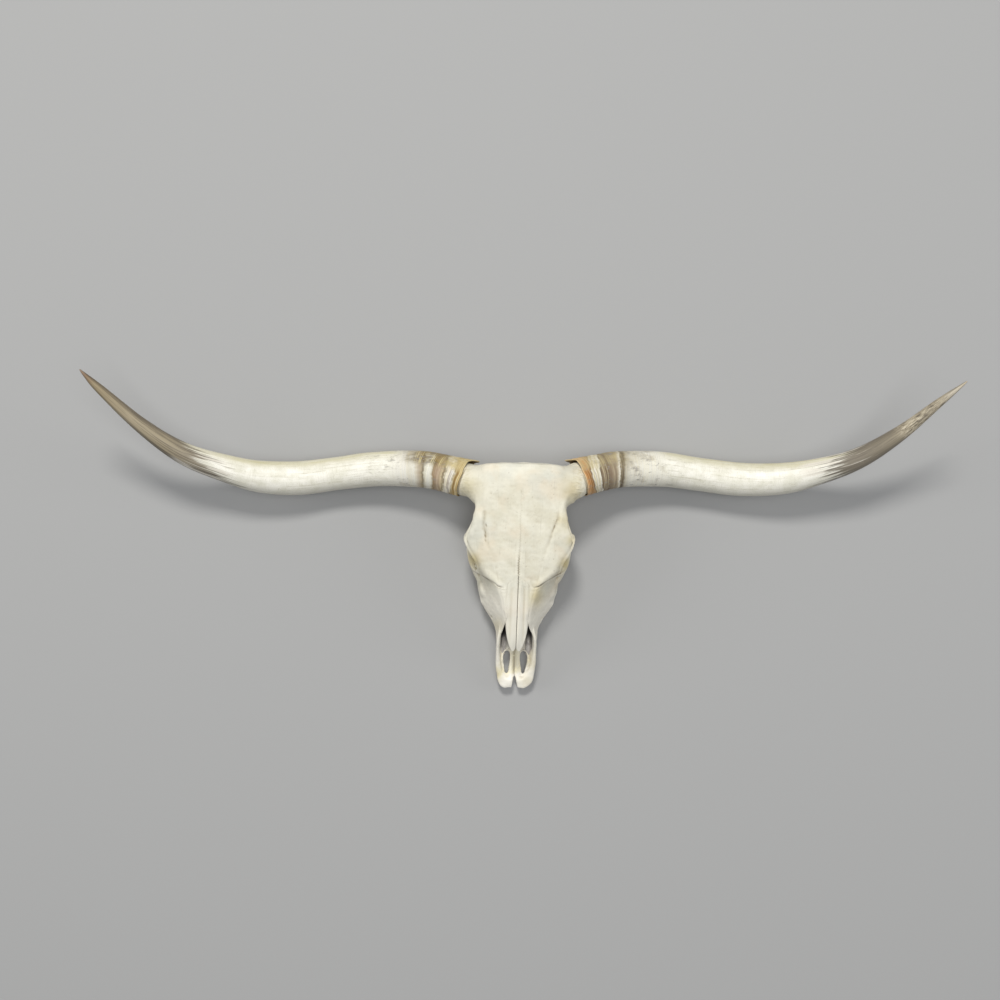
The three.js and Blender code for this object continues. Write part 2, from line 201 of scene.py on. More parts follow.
def ringSkin(name, rings, masks=None):
    # a ball with one row of points for each ring, its poles closing the two ends
    rows, sides, _ = rings.shape
    clearSelection()
    bpy.ops.mesh.primitive_uv_sphere_add(segments=sides, ring_count=rows + 1, radius=1)
    obj = bpy.context.object
    obj.name = name
    ball = readPoints(obj) * mm
    row = np.rint(np.arccos(np.clip(ball[:, 2], -1, 1)) / math.pi * (rows + 1)).astype(int) - 1
    side = np.rint(np.arctan2(ball[:, 1], ball[:, 0]) / (2 * math.pi) * sides).astype(int) % sides
    shaped = rings[np.clip(row, 0, rows - 1), side]
    shaped[row < 0] = rings[0].mean(axis=0)
    shaped[row >= rows] = rings[-1].mean(axis=0)
    writePoints(obj, shaped)
    for key, values in (masks or {}).items():
        writeMask(obj, key, values[np.clip(row, 0, rows - 1), side])
    return faceOut(obj)


def blob(name, centre, radii, turn=(0, 0, 0), sides=40):
    clearSelection()
    bpy.ops.mesh.primitive_uv_sphere_add(
        segments=sides, ring_count=sides // 2, radius=1, location=np.array(centre) * mm,
        rotation=[math.radians(a) for a in turn], scale=np.array(radii) * mm)
    bpy.context.object.name = name
    return settle(bpy.context.object)


def bar(name, stations, steps=36, sides=24, up=(0, 0, 1)):
    # stations are x, y, z, radius across, radius up
    thread = threaded(stations, steps)
    centre = thread[:, :3]
    ahead = np.gradient(centre, axis=0)
    ahead /= np.linalg.norm(ahead, axis=1)[:, None]
    across = np.cross(ahead, up)
    across /= np.linalg.norm(across, axis=1)[:, None]
    lift = np.cross(across, ahead)
    turn = np.linspace(0, 2 * math.pi, sides, endpoint=False)[None, :, None]
    rings = (centre[:, None] + across[:, None] * thread[:, None, 3:4] * np.cos(turn)
             + lift[:, None] * thread[:, None, 4:5] * np.sin(turn))
    return ringSkin(name, rings)


view = {"height": 3.2, "axis": (-0.0400, 0.0716), "roll": 1.9, "lens": 49.64}

bpy.ops.object.camera_add(location=(*view["axis"], view["height"]),
                          rotation=(0, 0, math.radians(view["roll"])))
camera = bpy.context.object
camera.name = "camera"
camera.data.lens = view["lens"]
camera.data.sensor_width = 36
camera.data.clip_start = 0.05
bpy.context.scene.camera = camera


def softLight(name, place, aim, size, power, colour=(1, 1, 1)):
    bpy.ops.object.light_add(type="AREA", location=place)
    lamp = bpy.context.object
    lamp.name = name
    lamp.data.shape = "DISK"
    lamp.data.size = size
    lamp.data.energy = power
    lamp.data.color = colour
    way = np.array(aim, float) - np.array(place, float)
    flat = math.hypot(way[0], way[1])
    lamp.rotation_euler = (math.atan2(flat, -way[2]), 0, math.atan2(-way[0], way[1]))
    return lamp


warm, cool, soft = (1.0, 0.985, 0.955), (0.97, 0.985, 1.0), (1.0, 0.99, 0.97)
softLight("keyLight", (-0.8, 4.6, 6.6), (0, 0, 0), 1.7, 372, warm)
softLight("topLight", (0.6, -0.2, 6.8), (0, 0, 0), 3.4, 150, cool)
softLight("sideLight", (-5.2, 0.4, 2.6), (0, 0, 0.1), 2.6, 58, soft)
softLight("rightLight", (5.2, 0.6, 2.6), (0, 0, 0.1), 2.6, 40, soft)

world = bpy.data.worlds.new("studioAir")
bpy.context.scene.world = world
world.use_nodes = True
world.node_tree.nodes["Background"].inputs["Color"].default_value = (0.93, 0.95, 1.0, 1)
world.node_tree.nodes["Background"].inputs["Strength"].default_value = 0.25
bpy.context.scene.view_settings.view_transform = "Standard"

clearSelection()
bpy.ops.mesh.primitive_plane_add(size=14, location=(0, 0, 0))
floor = bpy.context.object
floor.name = "studioFloor"
floorStuff = bpy.data.materials.new("paleFloor")
floorStuff.use_nodes = True
floorBody = floorStuff.node_tree.nodes["Principled BSDF"]
floorBody.inputs["Base Color"].default_value = (0.385, 0.385, 0.38, 1)
floorBody.inputs["Roughness"].default_value = 0.85
floor.data.materials.append(floorStuff)
print("studio ready")


def tone(code):
    # linear colour from a hex code
    parts = [int(code[i:i + 2], 16) / 255 for i in (1, 3, 5)]
    return (*[c / 12.92 if c <= 0.04045 else ((c + 0.055) / 1.055)**2.4 for c in parts], 1)


def plugIn(tree, node, inputs):
    for key, value in inputs.items():
        if isinstance(value, bpy.types.NodeSocket):
            tree.links.new(value, node.inputs[key])
        else:
            node.inputs[key].default_value = value


def put(tree, kind, inputs=None, **settings):
    made = tree.nodes.new("ShaderNode" + kind)
    for key, value in settings.items():
        setattr(made, key, value)
    plugIn(tree, made, inputs or {})
    return made


def calc(tree, operation, a, b=0.0, clamp=False):
    return put(tree, "Math", {0: a, 1: b}, operation=operation, use_clamp=clamp).outputs[0]


def blendColour(tree, factor, a, b, how="MIX"):
    made = put(tree, "Mix", {0: factor, 6: a, 7: b}, data_type="RGBA", blend_type=how)
    return made.outputs[2]


def stretch(tree, value, low, high, toLow=0.0, toHigh=1.0, smooth=True):
    made = put(tree, "MapRange", {"Value": value, "From Min": low, "From Max": high,
                                  "To Min": toLow, "To Max": toHigh})
    made.interpolation_type = "SMOOTHSTEP" if smooth else "LINEAR"
    return made.outputs["Result"]


def ramp(tree, factor, stops, interpolation="LINEAR"):
    made = put(tree, "ValToRGB", {"Fac": factor})
    made.color_ramp.interpolation = interpolation
    elements = made.color_ramp.elements
    while len(elements) > 1:
        elements.remove(elements[-1])
    elements[0].position, elements[0].color = stops[0][0], tone(stops[0][1])
    for place, code in stops[1:]:
        elements.new(place).color = tone(code)
    return made.outputs["Color"]


def noise(tree, vector, scale, detail=4.0, roughness=0.55, distortion=0.0):
    made = put(tree, "TexNoise", {"Vector": vector, "Scale": scale, "Detail": detail,
                                  "Roughness": roughness, "Distortion": distortion})
    return made.outputs["Fac"]


def squeezed(tree, vector, scale, offset=(0, 0, 0)):
    return put(tree, "Mapping", {"Vector": vector, "Scale": scale, "Location": offset}).outputs[0]


def attribute(tree, name, output="Fac"):
    return put(tree, "Attribute", attribute_name=name).outputs[output]


def newGroup(name, inputs, outputs):
    group = bpy.data.node_groups.new(name, "ShaderNodeTree")
    for label, kind, value in inputs:
        socket = group.interface.new_socket(label, in_out="INPUT", socket_type="NodeSocket" + kind)
        if value is not None:
            socket.default_value = value
    for label, kind in outputs:
        group.interface.new_socket(label, in_out="OUTPUT", socket_type="NodeSocket" + kind)
    return group, group.nodes.new("NodeGroupInput"), group.nodes.new("NodeGroupOutput")


def useGroup(tree, group, inputs):
    # the group's outputs by name
    made = tree.nodes.new("ShaderNodeGroup")
    made.node_tree = group
    plugIn(tree, made, inputs)
    return dict(made.outputs.items())


def newMaterial(name):
    material = bpy.data.materials.new(name)
    material.use_nodes = True
    return material, material.node_tree, material.node_tree.nodes["Principled BSDF"]


hornShape = {
    "rings": 430,
    "sides": 96,
    "hollow": 92,        # how far the blind hollow runs in from the rim
    "wall": 5.5,
    "rimWall": 2.6,
    "rimLean": (-6.0, -6.0, -9.0),   # rim moved along the horn: everywhere, at the back, on top
    "rimTongue": 19,     # how much further the rim reaches behind the poll
    "tonguePlace": -0.12,   # where round the horn it does, from the back edge, in radians
    "tongueWidth": 0.36,
    "wallGrows": 28,     # the wall reaches its full thickness this far from the rim
    "leanFades": 70,
    "growthRings": [(13.0, 0.55, 75, 1.0), (4.3, 0.22, 130, 0.6)],   # spacing, height, reach, waviness
    "left": [
        (134, 128, 112, 43.4), (177, 139, 91, 42), (223, 148, 76, 41.4), (316, 152, 58, 39.8),
        (408, 143, 52, 38.1), (498, 135, 57, 38), (586, 139, 76, 35.8), (670, 159, 102, 29.6),
        (750, 191, 136, 23.4), (825, 245, 178, 16.6), (894, 312, 228, 9.4), (931, 347, 256, 3.4),
        (940, 356, 262, 1.2)],
    "right": [
        (-131, 118, 112, 43.4), (-184, 128, 88, 41.8), (-230, 134, 76, 41.5), (-322, 132, 58, 39.6),
        (-414, 119, 52, 38), (-504, 105, 57, 38.6), (-592, 105, 76, 36.2), (-678, 124, 102, 29.8),
        (-761, 154, 136, 23.6), (-840, 209, 178, 16.7), (-916, 280, 228, 10), (-944, 309, 249, 4),
        (-953, 319, 255, 1.2)],
}


def hornAxes(centre, side):
    ahead = np.gradient(centre, axis=0)
    ahead /= np.linalg.norm(ahead, axis=1)[:, None]
    back = np.cross((0, 0, 1), ahead) * side
    back /= np.linalg.norm(back, axis=1)[:, None]
    return ahead, back, np.cross(ahead, back) * side


def rimLeanAt(turn):
    # how far along the horn its rim sits, round the horn from the back edge over the top
    every, atBack, onTop = hornShape["rimLean"]
    fromTongue = np.angle(np.exp(1j * (turn - hornShape["tonguePlace"])))
    tongue = hornShape["rimTongue"] * bell(fromTongue, hornShape["tongueWidth"])
    return every + atBack * np.cos(turn) + onTop * np.sin(turn) - tongue


def wallAt(run):
    # thickness of the sheath along its hollow
    thin, thick = hornShape["rimWall"], hornShape["wall"]
    return thin + (thick - thin) * ease(run, 0, hornShape["wallGrows"])


def hornRelief(place, s, r, turn, seed):
    # growth rings by the base, long soft fluting, slow swellings and a few nicks
    flat = place.reshape(-1, 3)

    def field(size, salt):
        return ripple(flat, size, seed + salt).reshape(place.shape[:2])

    wobble = field(60, 1) * 2.0
    growth = sum(np.sin((s + wobble * waviness) * 2 * math.pi / spacing) * height * np.exp(-s / reach)
                 for spacing, height, reach, waviness in hornShape["growthRings"])
    flute = np.sin(turn * 7 + s * 0.004 + field(220, 2)) * 0.12 + np.sin(turn * 17 + s * 0.003) * 0.05
    swell = field(95, 3) * 0.35 * (r / 40)
    nicks = -np.clip(field(26, 4) - 1.5, 0, 1) * 0.8
    return growth + flute * (r / 40) + swell + nicks


def hornSkin(name, side, seed):
    thread = threaded(hornShape["left" if side > 0 else "right"], hornShape["rings"])
    centre, radius = thread[:, :3], thread[:, 3]
    run = np.r_[0, np.cumsum(np.linalg.norm(np.diff(centre, axis=0), axis=1))]
    ahead, back, lift = hornAxes(centre, side)
    turn = np.linspace(0, 2 * math.pi, hornShape["sides"], endpoint=False)
    backness, upness = np.cos(turn), np.sin(turn)

    # from the blind end of the hollow back to the rim, then out to the tip
    inside = run < hornShape["hollow"]
    order = np.r_[np.arange(len(run))[inside][::-4], np.arange(len(run))]
    inner = np.r_[np.ones(len(order) - len(run)), np.zeros(len(run))]
    s, r = run[order][:, None], radius[order][:, None]
    place = centre[order][:, None] + back[order][:, None] * (r * backness)[..., None]
    place = place + lift[order][:, None] * (r * upness)[..., None]
    outward = np.where(inner[:, None] > 0, -wallAt(s), hornRelief(place, s, r, turn, seed))
    radial = back[order][:, None] * backness[None, :, None] + lift[order][:, None] * upness[None, :, None]
    place = place + radial * outward[..., None]

    # ragged, leaning rim
    lean = rimLeanAt(turn) + np.sin(turn * 5 + seed) * 0.7 + np.sin(turn * 11 + seed * 2) * 0.45
    place = place + ahead[order][:, None] * (lean[None] * (1 - ease(s, 0, hornShape["leanFades"])))[..., None]

    horn = ringSkin(name, place + skullPlace, {
        "hornRun": np.repeat(s * mm, len(turn), axis=1),
        "hornBand": (s - ahead[order][:, 2:] * r * np.maximum(upness, -0.3)
                     + r * 0.15 * np.maximum(-backness, 0)) * mm,
        "hornBack": np.repeat(backness[None], len(s), axis=0),
        "hornUp": np.repeat(upness[None], len(s), axis=0),
        "hornInner": np.repeat(inner[:, None], len(turn), axis=1),
    })
    pick(horn)
    bpy.ops.object.shade_smooth()
    return horn


hornGrain = [   # name, scale round and along the horn, offset, then detail, roughness and distortion
    ("Streaks", (260, 260, 9), (0, 0, 0), 6.0, 0.6),
    ("Broad", (75, 75, 7), (0, 0, 0), 3.0, 0.55, 0.4),
    ("Rings", (9, 9, 420), (0, 0, 0), 3.0, 0.5),
    ("Mottle", (45, 45, 30), (0, 0, 0), 5.0, 0.6),
    ("Marble", (150, 150, 48), (0, 0, 0), 5.0, 0.65, 1.2),
    ("Scratches", (60, 90, 260), (0.3, 0.2, 0.1), 2.0, 0.4, 2.5),
]


def hornGroup():
    # streaks along the fibres, fine growth rings across them, and a slow mottle
    inputs = [(name, "Float", 0.0) for name in ("Run", "Back", "Up", "Shift")]
    group, start, end = newGroup("hornFibre", inputs, [(row[0], "Float") for row in hornGrain])
    run = calc(group, "ADD", start.outputs["Run"], start.outputs["Shift"])
    thickness = 0.035   # metres across, so that the pattern keeps its scale round the horn
    space = put(group, "CombineXYZ", {"X": calc(group, "MULTIPLY", start.outputs["Back"], thickness),
                                      "Y": calc(group, "MULTIPLY", start.outputs["Up"], thickness),
                                      "Z": run}).outputs[0]
    for label, scale, offset, *grain in hornGrain:
        spot = squeezed(group, space, scale, offset)
        group.links.new(noise(group, spot, 1.0, *grain), end.inputs[label])
    return group


hornColours = {
    "left": {
        "shift": 3.1,
        # along the banded length: amber collar, pale stripes, brown bands, light line, dark ring, cream
        "baseBands": [(0.0, "#e2cfa2"), (0.045, "#b98a52"), (0.075, "#d9a877"), (0.12, "#c98f55"),
                      (0.16, "#a8733e"), (0.178, "#6d5233"), (0.188, "#e6e2d2"), (0.202, "#c3b996"),
                      (0.218, "#efebdf"), (0.238, "#cfc8ae"), (0.262, "#f0ede2"), (0.272, "#5f5340"),
                      (0.288, "#8d7b66"), (0.33, "#715f4b"), (0.375, "#8a7863"), (0.400, "#a3937b"),
                      (0.43, "#8f7f69"), (0.452, "#b3a68f"), (0.476, "#ece7d6"), (0.488, "#85785f"),
                      (0.504, "#5f5444"), (0.527, "#6b604f"), (0.546, "#bdb7a6"), (0.61, "#e0ddd0"),
                      (0.80, "#e8e5d8"), (1.0, "#ebe8da")],
        "mottleEnd": 0.17,
        "olive": (0.6, [(0.3, "#c2b384"), (0.5, "#978a68"), (0.7, "#6d614c")]),
        "tipStart": 0.555, "tipFull": 0.605,
        "tip": [(0.0, "#7c766b"), (0.2, "#857d6f"), (0.38, "#8a8170"), (0.50, "#978d79"), (0.58, "#b3aa99"),
                (0.68, "#c6bfb0"), (0.80, "#cec6b4"), (0.93, "#d2c8b3"), (1.0, "#b9a98e")],
        "whiteStreaks": 0.50, "whiteUntil": 0.70,
        "marbleFrom": 0.755, "marbleUntil": 0.87,
        "edgeDark": "#6b6357",
    },
    "right": {
        "shift": 7.7,
        "baseBands": [(0.0, "#e0cb9a"), (0.035, "#b79a62"), (0.075, "#d3bd88"), (0.12, "#b3945a"),
                      (0.158, "#8f7444"), (0.172, "#dcd5c0"), (0.20, "#efece4"), (0.232, "#e2dbcc"),
                      (0.248, "#cfc6ae"), (0.26, "#5f5440"), (0.278, "#ad9a7c"), (0.325, "#b29c86"),
                      (0.368, "#8f7857"), (0.388, "#dcd9ca"), (0.425, "#eceade"), (0.472, "#cfcab6"),
                      (0.49, "#6f6450"), (0.512, "#a99a82"), (0.55, "#c9beaa"), (0.60, "#e2dfd2"),
                      (0.66, "#dad6c8"), (0.70, "#e8e5da"), (1.0, "#ebe8da")],
        "mottleEnd": 0.13,
        "olive": (1.0, [(0.3, "#a08a52"), (0.5, "#776439"), (0.7, "#524329")]),
        "tipStart": 0.555, "tipFull": 0.625,
        "tip": [(0.0, "#8d8576"), (0.2, "#978d7b"), (0.38, "#a4987f"), (0.62, "#aea187"), (0.9, "#a49474"),
                (0.97, "#91745a"), (1.0, "#855a46")],
        "whiteStreaks": 0.53, "whiteUntil": 0.69,
        "marbleFrom": 0.94, "marbleUntil": 0.95,
        "edgeDark": "#564e43",
    },
}


bandLength, hornLength = 0.2, 0.94   # metres that the bands and the dark tip are spread over


def product(tree, *values):
    total = values[0]
    for value in values[1:]:
        total = calc(tree, "MULTIPLY", total, value)
    return total


def shifted(tree, by, amount, socket):
    # a value moved to and fro by a pattern that runs from 0 to 1
    made = calc(tree, "MULTIPLY_ADD", calc(tree, "SUBTRACT", by, 0.5), amount)
    tree.links.new(socket, made.node.inputs[2])
    return made


def hornCream(tree, grain):
    # cream with grey strands and fine rings, a greenish yellow back edge, and painted shade that greys the
    # front, the side turned from the key light
    back, broad = grain["Back"], grain["Broad"]
    colour = blendColour(tree, stretch(tree, grain["Mottle"], 0.35, 0.7), tone("#f5f2e6"), tone("#e2dfce"))
    strands = product(tree, stretch(tree, grain["Streaks"], 0.5, 0.66, 0, 0.42),
                      stretch(tree, grain["Marble"], 0.40, 0.58, 0.25, 1.0))
    colour = blendColour(tree, strands, colour, tone("#b0a98f"))
    fromMiddle = calc(tree, "ABSOLUTE", calc(tree, "SUBTRACT", grain["Rings"], 0.5))
    rings = product(tree, stretch(tree, fromMiddle, 0.03, 0.0, 0, 0.34), stretch(tree, broad, 0.42, 0.6))
    colour = blendColour(tree, rings, colour, tone("#b5ad94"))
    edge = product(tree, stretch(tree, back, 0.42, 0.95), stretch(tree, broad, 0.3, 0.7, 0.45, 1.0))
    colour = blendColour(tree, edge, colour, tone("#d0c9a2"))
    # painted shade: the front of the horn, turned from the key light, blended towards grey
    front = product(tree, stretch(tree, back, -0.35, -1.0), 0.55)
    return blendColour(tree, front, colour, tone("#c9c5b6"))


def hornBands(tree, grain, look):
    # uneven bands round the base, striped near the rim, with an olive and gold back edge
    run, rings = grain["Run"], grain["Rings"]
    place = shifted(tree, grain["Broad"], 0.011, attribute(tree, "hornBand"))
    place = shifted(tree, rings, 0.006, place)
    colour = ramp(tree, calc(tree, "DIVIDE", place, bandLength), look["baseBands"])
    clouds = stretch(tree, grain["Mottle"], 0.48, 0.72, 0, 0.5)
    colour = blendColour(tree, clouds, colour, tone("#8d7f62"))
    brown = product(tree, stretch(tree, rings, 0.5, 0.62), stretch(tree, run, 0.06, 0.01, 0.15, 0.6))
    colour = blendColour(tree, brown, colour, tone("#7c6238"))
    pale = product(tree, stretch(tree, rings, 0.5, 0.38), stretch(tree, run, 0.07, 0.01, 0.2, 0.6))
    colour = blendColour(tree, pale, colour, tone("#e6dab0"))
    amount, olives = look["olive"]
    olive = product(tree, stretch(tree, grain["Back"], 0.1, 0.5), stretch(tree, run, 0.16, 0.10, 0.0, amount))
    gold = product(tree, stretch(tree, run, 0.055, 0.025), 0.75)
    gilt = blendColour(tree, gold, ramp(tree, grain["Mottle"], olives), tone("#d4c391"))
    patchy = product(tree, olive, stretch(tree, grain["Marble"], 0.35, 0.65, 0.45, 1.0))
    colour = blendColour(tree, patchy, colour, gilt)
    goldLines = product(tree, stretch(tree, rings, 0.56, 0.64), olive, 0.7)
    colour = blendColour(tree, goldLines, colour, tone("#dccf9c"))
    specks = product(tree, stretch(tree, grain["Marble"], 0.58, 0.66),
                     stretch(tree, grain["Streaks"], 0.5, 0.62), 0.7)
    return blendColour(tree, specks, colour, tone("#8b8980"))


def hornTip(tree, grain, look):
    # colour of the dark tip, and where it sets in as streaks along the fibres, with painted shade along its
    # front and back edges
    run, back, streaks, broad = (grain[key] for key in ("Run", "Back", "Streaks", "Broad"))
    place = calc(tree, "MULTIPLY_ADD", back, -0.035)
    tree.links.new(shifted(tree, streaks, 0.26, shifted(tree, broad, 0.18, run)), place.node.inputs[2])
    dark = stretch(tree, place, look["tipStart"], look["tipFull"])
    colour = ramp(tree, stretch(tree, run, look["tipStart"], hornLength, smooth=False), look["tip"])
    colour = blendColour(tree, stretch(tree, streaks, 0.46, 0.64, 0, 0.66), colour, tone(look["edgeDark"]))
    # painted shade darkening the tip's front and back edges
    edges = calc(tree, "ADD", stretch(tree, back, -0.45, -0.95), stretch(tree, back, 0.3, 0.85), True)
    edges = product(tree, edges, stretch(tree, broad, 0.3, 0.6, 0.25, 0.75))
    return blendColour(tree, edges, colour, tone(look["edgeDark"])), dark


def hornMarks(tree, grain, look, colour):
    # white streaks left in the dark start of the tip, then its marbled stretch
    run = grain["Run"]
    start, end = look["whiteStreaks"], look["whiteUntil"]
    white = product(tree, stretch(tree, grain["Broad"], 0.54, 0.62), stretch(tree, run, start, start + 0.04),
                    stretch(tree, run, end, end - 0.05), 0.85)
    colour = blendColour(tree, white, colour, tone("#e3ddcf"))
    marbled = ramp(tree, grain["Marble"], [(0.0, "#423b31"), (0.42, "#5d5345"), (0.48, "#a3977f"),
                                           (0.56, "#c0b49b"), (0.64, "#ded5bf"), (1.0, "#efe9da")])
    start, end = look["marbleFrom"], look["marbleUntil"]
    where = product(tree, stretch(tree, run, start - 0.02, start + 0.02),
                    stretch(tree, run, end + 0.03, end - 0.01))
    return blendColour(tree, product(tree, where, 0.85), colour, marbled)


def hornMaterial(name, look, fibre):
    material, tree, body = newMaterial(name)
    grain = {"Run": attribute(tree, "hornRun"), "Back": attribute(tree, "hornBack"),
             "Up": attribute(tree, "hornUp")}
    grain.update(useGroup(tree, fibre, {**grain, "Shift": look["shift"]}))
    run, streaks = grain["Run"], grain["Streaks"]
    pastBands = stretch(tree, run, look["mottleEnd"], look["mottleEnd"] + 0.05)
    colour = blendColour(tree, pastBands, hornBands(tree, grain, look), hornCream(tree, grain))
    flecks = product(tree, stretch(tree, grain["Marble"], 0.54, 0.62), stretch(tree, run, 0.30, 0.12),
                     stretch(tree, grain["Mottle"], 0.42, 0.6), 0.7)
    colour = blendColour(tree, flecks, colour, tone("#96918a"))
    tip, dark = hornTip(tree, grain, look)
    colour = hornMarks(tree, grain, look, blendColour(tree, dark, colour, tip))
    apart = calc(tree, "ABSOLUTE", calc(tree, "SUBTRACT", grain["Scratches"], 0.5))
    colour = blendColour(tree, stretch(tree, apart, 0.014, 0.0, 0, 0.5), colour, tone("#a39b84"))
    colour = blendColour(tree, attribute(tree, "hornInner"), colour, tone("#6e5a3c"))   # dull inside
    tree.links.new(colour, body.inputs["Base Color"])
    rough = stretch(tree, streaks, 0.3, 0.75, 0.36, 0.56)
    rough = calc(tree, "ADD", rough, stretch(tree, run, 0.12, 0.0, 0.0, 0.22), True)
    tree.links.new(rough, body.inputs["Roughness"])
    height = calc(tree, "MULTIPLY_ADD", grain["Rings"], stretch(tree, run, 0.30, 0.05, 0.25, 1.0))
    tree.links.new(product(tree, streaks, 0.8), height.node.inputs[2])
    bump = put(tree, "Bump", {"Height": height, "Strength": 0.55, "Distance": 0.0007})
    tree.links.new(bump.outputs["Normal"], body.inputs["Normal"])
    body.inputs["Specular IOR Level"].default_value = 0.34
    return material


hornFibre = hornGroup()
for label, side, seed in (("left", 1, 11), ("right", -1, 29)):
    horn = hornSkin("horn" + label.capitalize(), side, seed)
    sheath = hornMaterial("hornSheath" + label.capitalize(), hornColours[label], hornFibre)
    horn.data.materials.append(sheath)
    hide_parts("horn_" + label)
    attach(horn, "root")
print("horns ready")


# The bone is blocked out in soft masses, fused, hollowed, given its thin bars and rims, fused again,
# sculpted, and last cut along the sutures.

head = {
    "rings": 110,
    "halfRing": 40,
    "softVoxel": 2.6,
    "softRounds": 10,
    "carveVoxel": 2.3,
    "fineVoxel": 1.7,
    "fineRounds": 3,
    "mostFaces": 178000,
    # y, crown height, brow x and z, cheek x and z, sole x, bottom
    "sections": [
        (152, 179, 84, 171, 82, 146, 60, 128), (143, 187, 90, 175, 92, 138, 72, 88),
        (128, 190, 93, 176, 94, 134, 74, 54), (114, 190, 94, 176, 94, 126, 66, 22),
        (92, 190, 96, 175, 86, 120, 46, 20), (74, 189, 101, 172, 74, 112, 38, 27),
        (46, 187, 103.5, 169, 66, 108, 34, 38), (16, 184, 108, 164, 64, 106, 28, 42),
        (-12, 180, 118, 156, 60, 104, 26, 42), (-36, 176, 113, 151, 62, 98, 30, 38),
        (-58, 172, 99, 150, 74, 92, 48, 32), (-80, 167, 86, 148, 88, 86, 66, 27),
        (-100, 162, 70, 147, 88.5, 78, 70, 25), (-126, 156, 50, 145, 88, 66, 70, 24),
        (-157, 148, 38, 138, 83, 56, 68, 24), (-180, 141, 32, 130, 72, 54, 60, 24),
        (-203, 131, 29, 118, 57, 54, 48, 26), (-226, 106, 33, 98, 48, 55, 42, 29),
        (-262, 76, 36, 70, 45, 48, 40, 29), (-300, 54, 37.5, 49, 44, 38, 38, 26),
        (-336, 38, 33, 35, 41, 29, 34, 21.5), (-352, 31, 22, 30, 33, 26, 28, 21.5),
        (-360, 28, 8, 27.5, 19, 25, 14, 22)],
}


def sectionCorners(y):
    keys = [-row[0] for row in head["sections"]]
    top, brow, browZ, cheek, cheekZ, sole, bottom = smoothTable(
        keys, [row[1:] for row in head["sections"]], np.array([-y]))[0]
    return [(0, top), (brow * 0.62, top - (top - browZ) * 0.3), (brow, browZ), (cheek, cheekZ),
            (sole, bottom + 3), (0, bottom)]


def mirroredRing(y, corners, steps):
    half = threaded(corners, steps)
    half[0, 0] = half[-1, 0] = 0
    whole = np.vstack([half, half[-2:0:-1] * [-1, 1]])
    return np.stack([whole[:, 0], np.full(len(whole), float(y)), whole[:, 1]], axis=1)


def headSkin():
    ys = np.linspace(head["sections"][0][0], head["sections"][-1][0], head["rings"])
    rings = [mirroredRing(y, sectionCorners(y), head["halfRing"]) for y in ys]
    return ringSkin("skullBlank", np.array(rings))


def crownHeight(x, y):
    # height of the head's skin across one section
    top = threaded(sectionCorners(y), 24)[:10]
    return np.interp(np.abs(x), top[:, 0], top[:, 1])


def hornRoot(side):
    # flares from the forehead to the sheath's rim, then runs on inside the sheath as the bone core
    base, following, far = hornShape["left" if side > 0 else "right"][:3]
    near = [base[i] + (following[i] - base[i]) * 0.5 for i in range(4)]
    end = [following[i] + (far[i] - following[i]) * 0.75 for i in range(4)]
    clear = hornShape["wall"] + 1.6
    return bar("hornRoot", [
        (side * 20, 96, 150, 40, 26), (side * 66, 104, 144, 43, 38), (side * 92, 108, 138, 39, 39),
        (side * 112, 111, 129, 36.5, 40), (base[0], base[1] - 3, base[2], 37.5, 39.6),
        (near[0], near[1] - 1, near[2], near[3] - clear, near[3] - clear),
        (*following[:3], following[3] - clear, following[3] - clear),
        (*end[:3], end[3] - clear - 1, end[3] - clear - 1)], 70, 48)


def onSide(side, stations):
    # stations given for +x, moved to either side
    return [(side * x, *rest) for x, *rest in stations]


def softMasses(side):
    return [
        hornRoot(side),
        blob("hornFillet", (side * 97, 82, 144), (21 if side > 0 else 19.5, 26, 22)),
        blob("nuchalCorner", (side * 80, 110, 110), (25, 29, 54)),
        blob("eyeMass", (side * 90, -46, 114), (25, 40, 35), (0, 0, side * -14)),
        blob("cheekMass", (side * 75, -116, 74), (12.5, 34, 21), (0, 0, side * 4)),
        blob("faceTuber", (side * 72, -150, 56), (12, 22, 11), (0, 0, side * 12)),
        bar("toothRidge", onSide(side, [
            (60, -78, 35, 11, 14), (59, -122, 29, 13.5, 15.5), (55, -160, 29, 12.5, 15),
            (49, -194, 30, 10.5, 13.5), (44, -218, 34, 8, 9.5)])),
    ]


def innerMasses(side):
    return [
        bar("condyle", onSide(side, [(19, 110, 12.5, 12.5, 14), (27, 118, 20, 15, 17), (33, 121, 34, 14, 16),
                                     (34, 120, 48, 11, 12), (30, 118, 58, 7, 8)]), 30, up=(0, 1, 0)),
        blob("bulla", (side * 43, 58, 33), (13, 19, 21)),
        bar("jugular", onSide(side, [(70, 106, 72, 14, 20), (66, 100, 44, 6, 14), (60, 94, 18, 4.5, 10),
                                     (57, 90, -2, 4, 7)]), 40, up=(0, 1, 0)),
        bar("nuchalLine", onSide(side, [(82, 130, 128, 6, 8), (90, 124, 110, 7, 10), (84, 112, 86, 7, 11),
                                        (70, 104, 64, 7, 12)]), 40, up=(0, 1, 0)),
        bar("earTube", onSide(side, [(50, 62, 62, 10, 10), (68, 66, 70, 9, 9), (84, 70, 75, 7.5, 7.5)]), 20),
        blob("baseTubercle", (side * 13, 74, 24), (8, 13, 8)),
        bar("faceCrest", onSide(side, [
            (78, -158, 55, 4, 5), (85, -134, 60, 5, 6), (88, -112, 70, 5, 8)]), 24),
    ]


eyeRing = [  # x, y, z round the rim: back corner, top, front, bottom, back
    (118, -15, 136), (113.5, -30, 147), (103, -49, 150), (92.5, -66, 145), (86, -81, 132), (86, -91, 114),
    (92, -92, 97), (102, -82, 86), (109, -64, 81), (112, -44, 79.5), (113, -24, 83), (115.5, -9, 96),
    (117, -6, 118)]


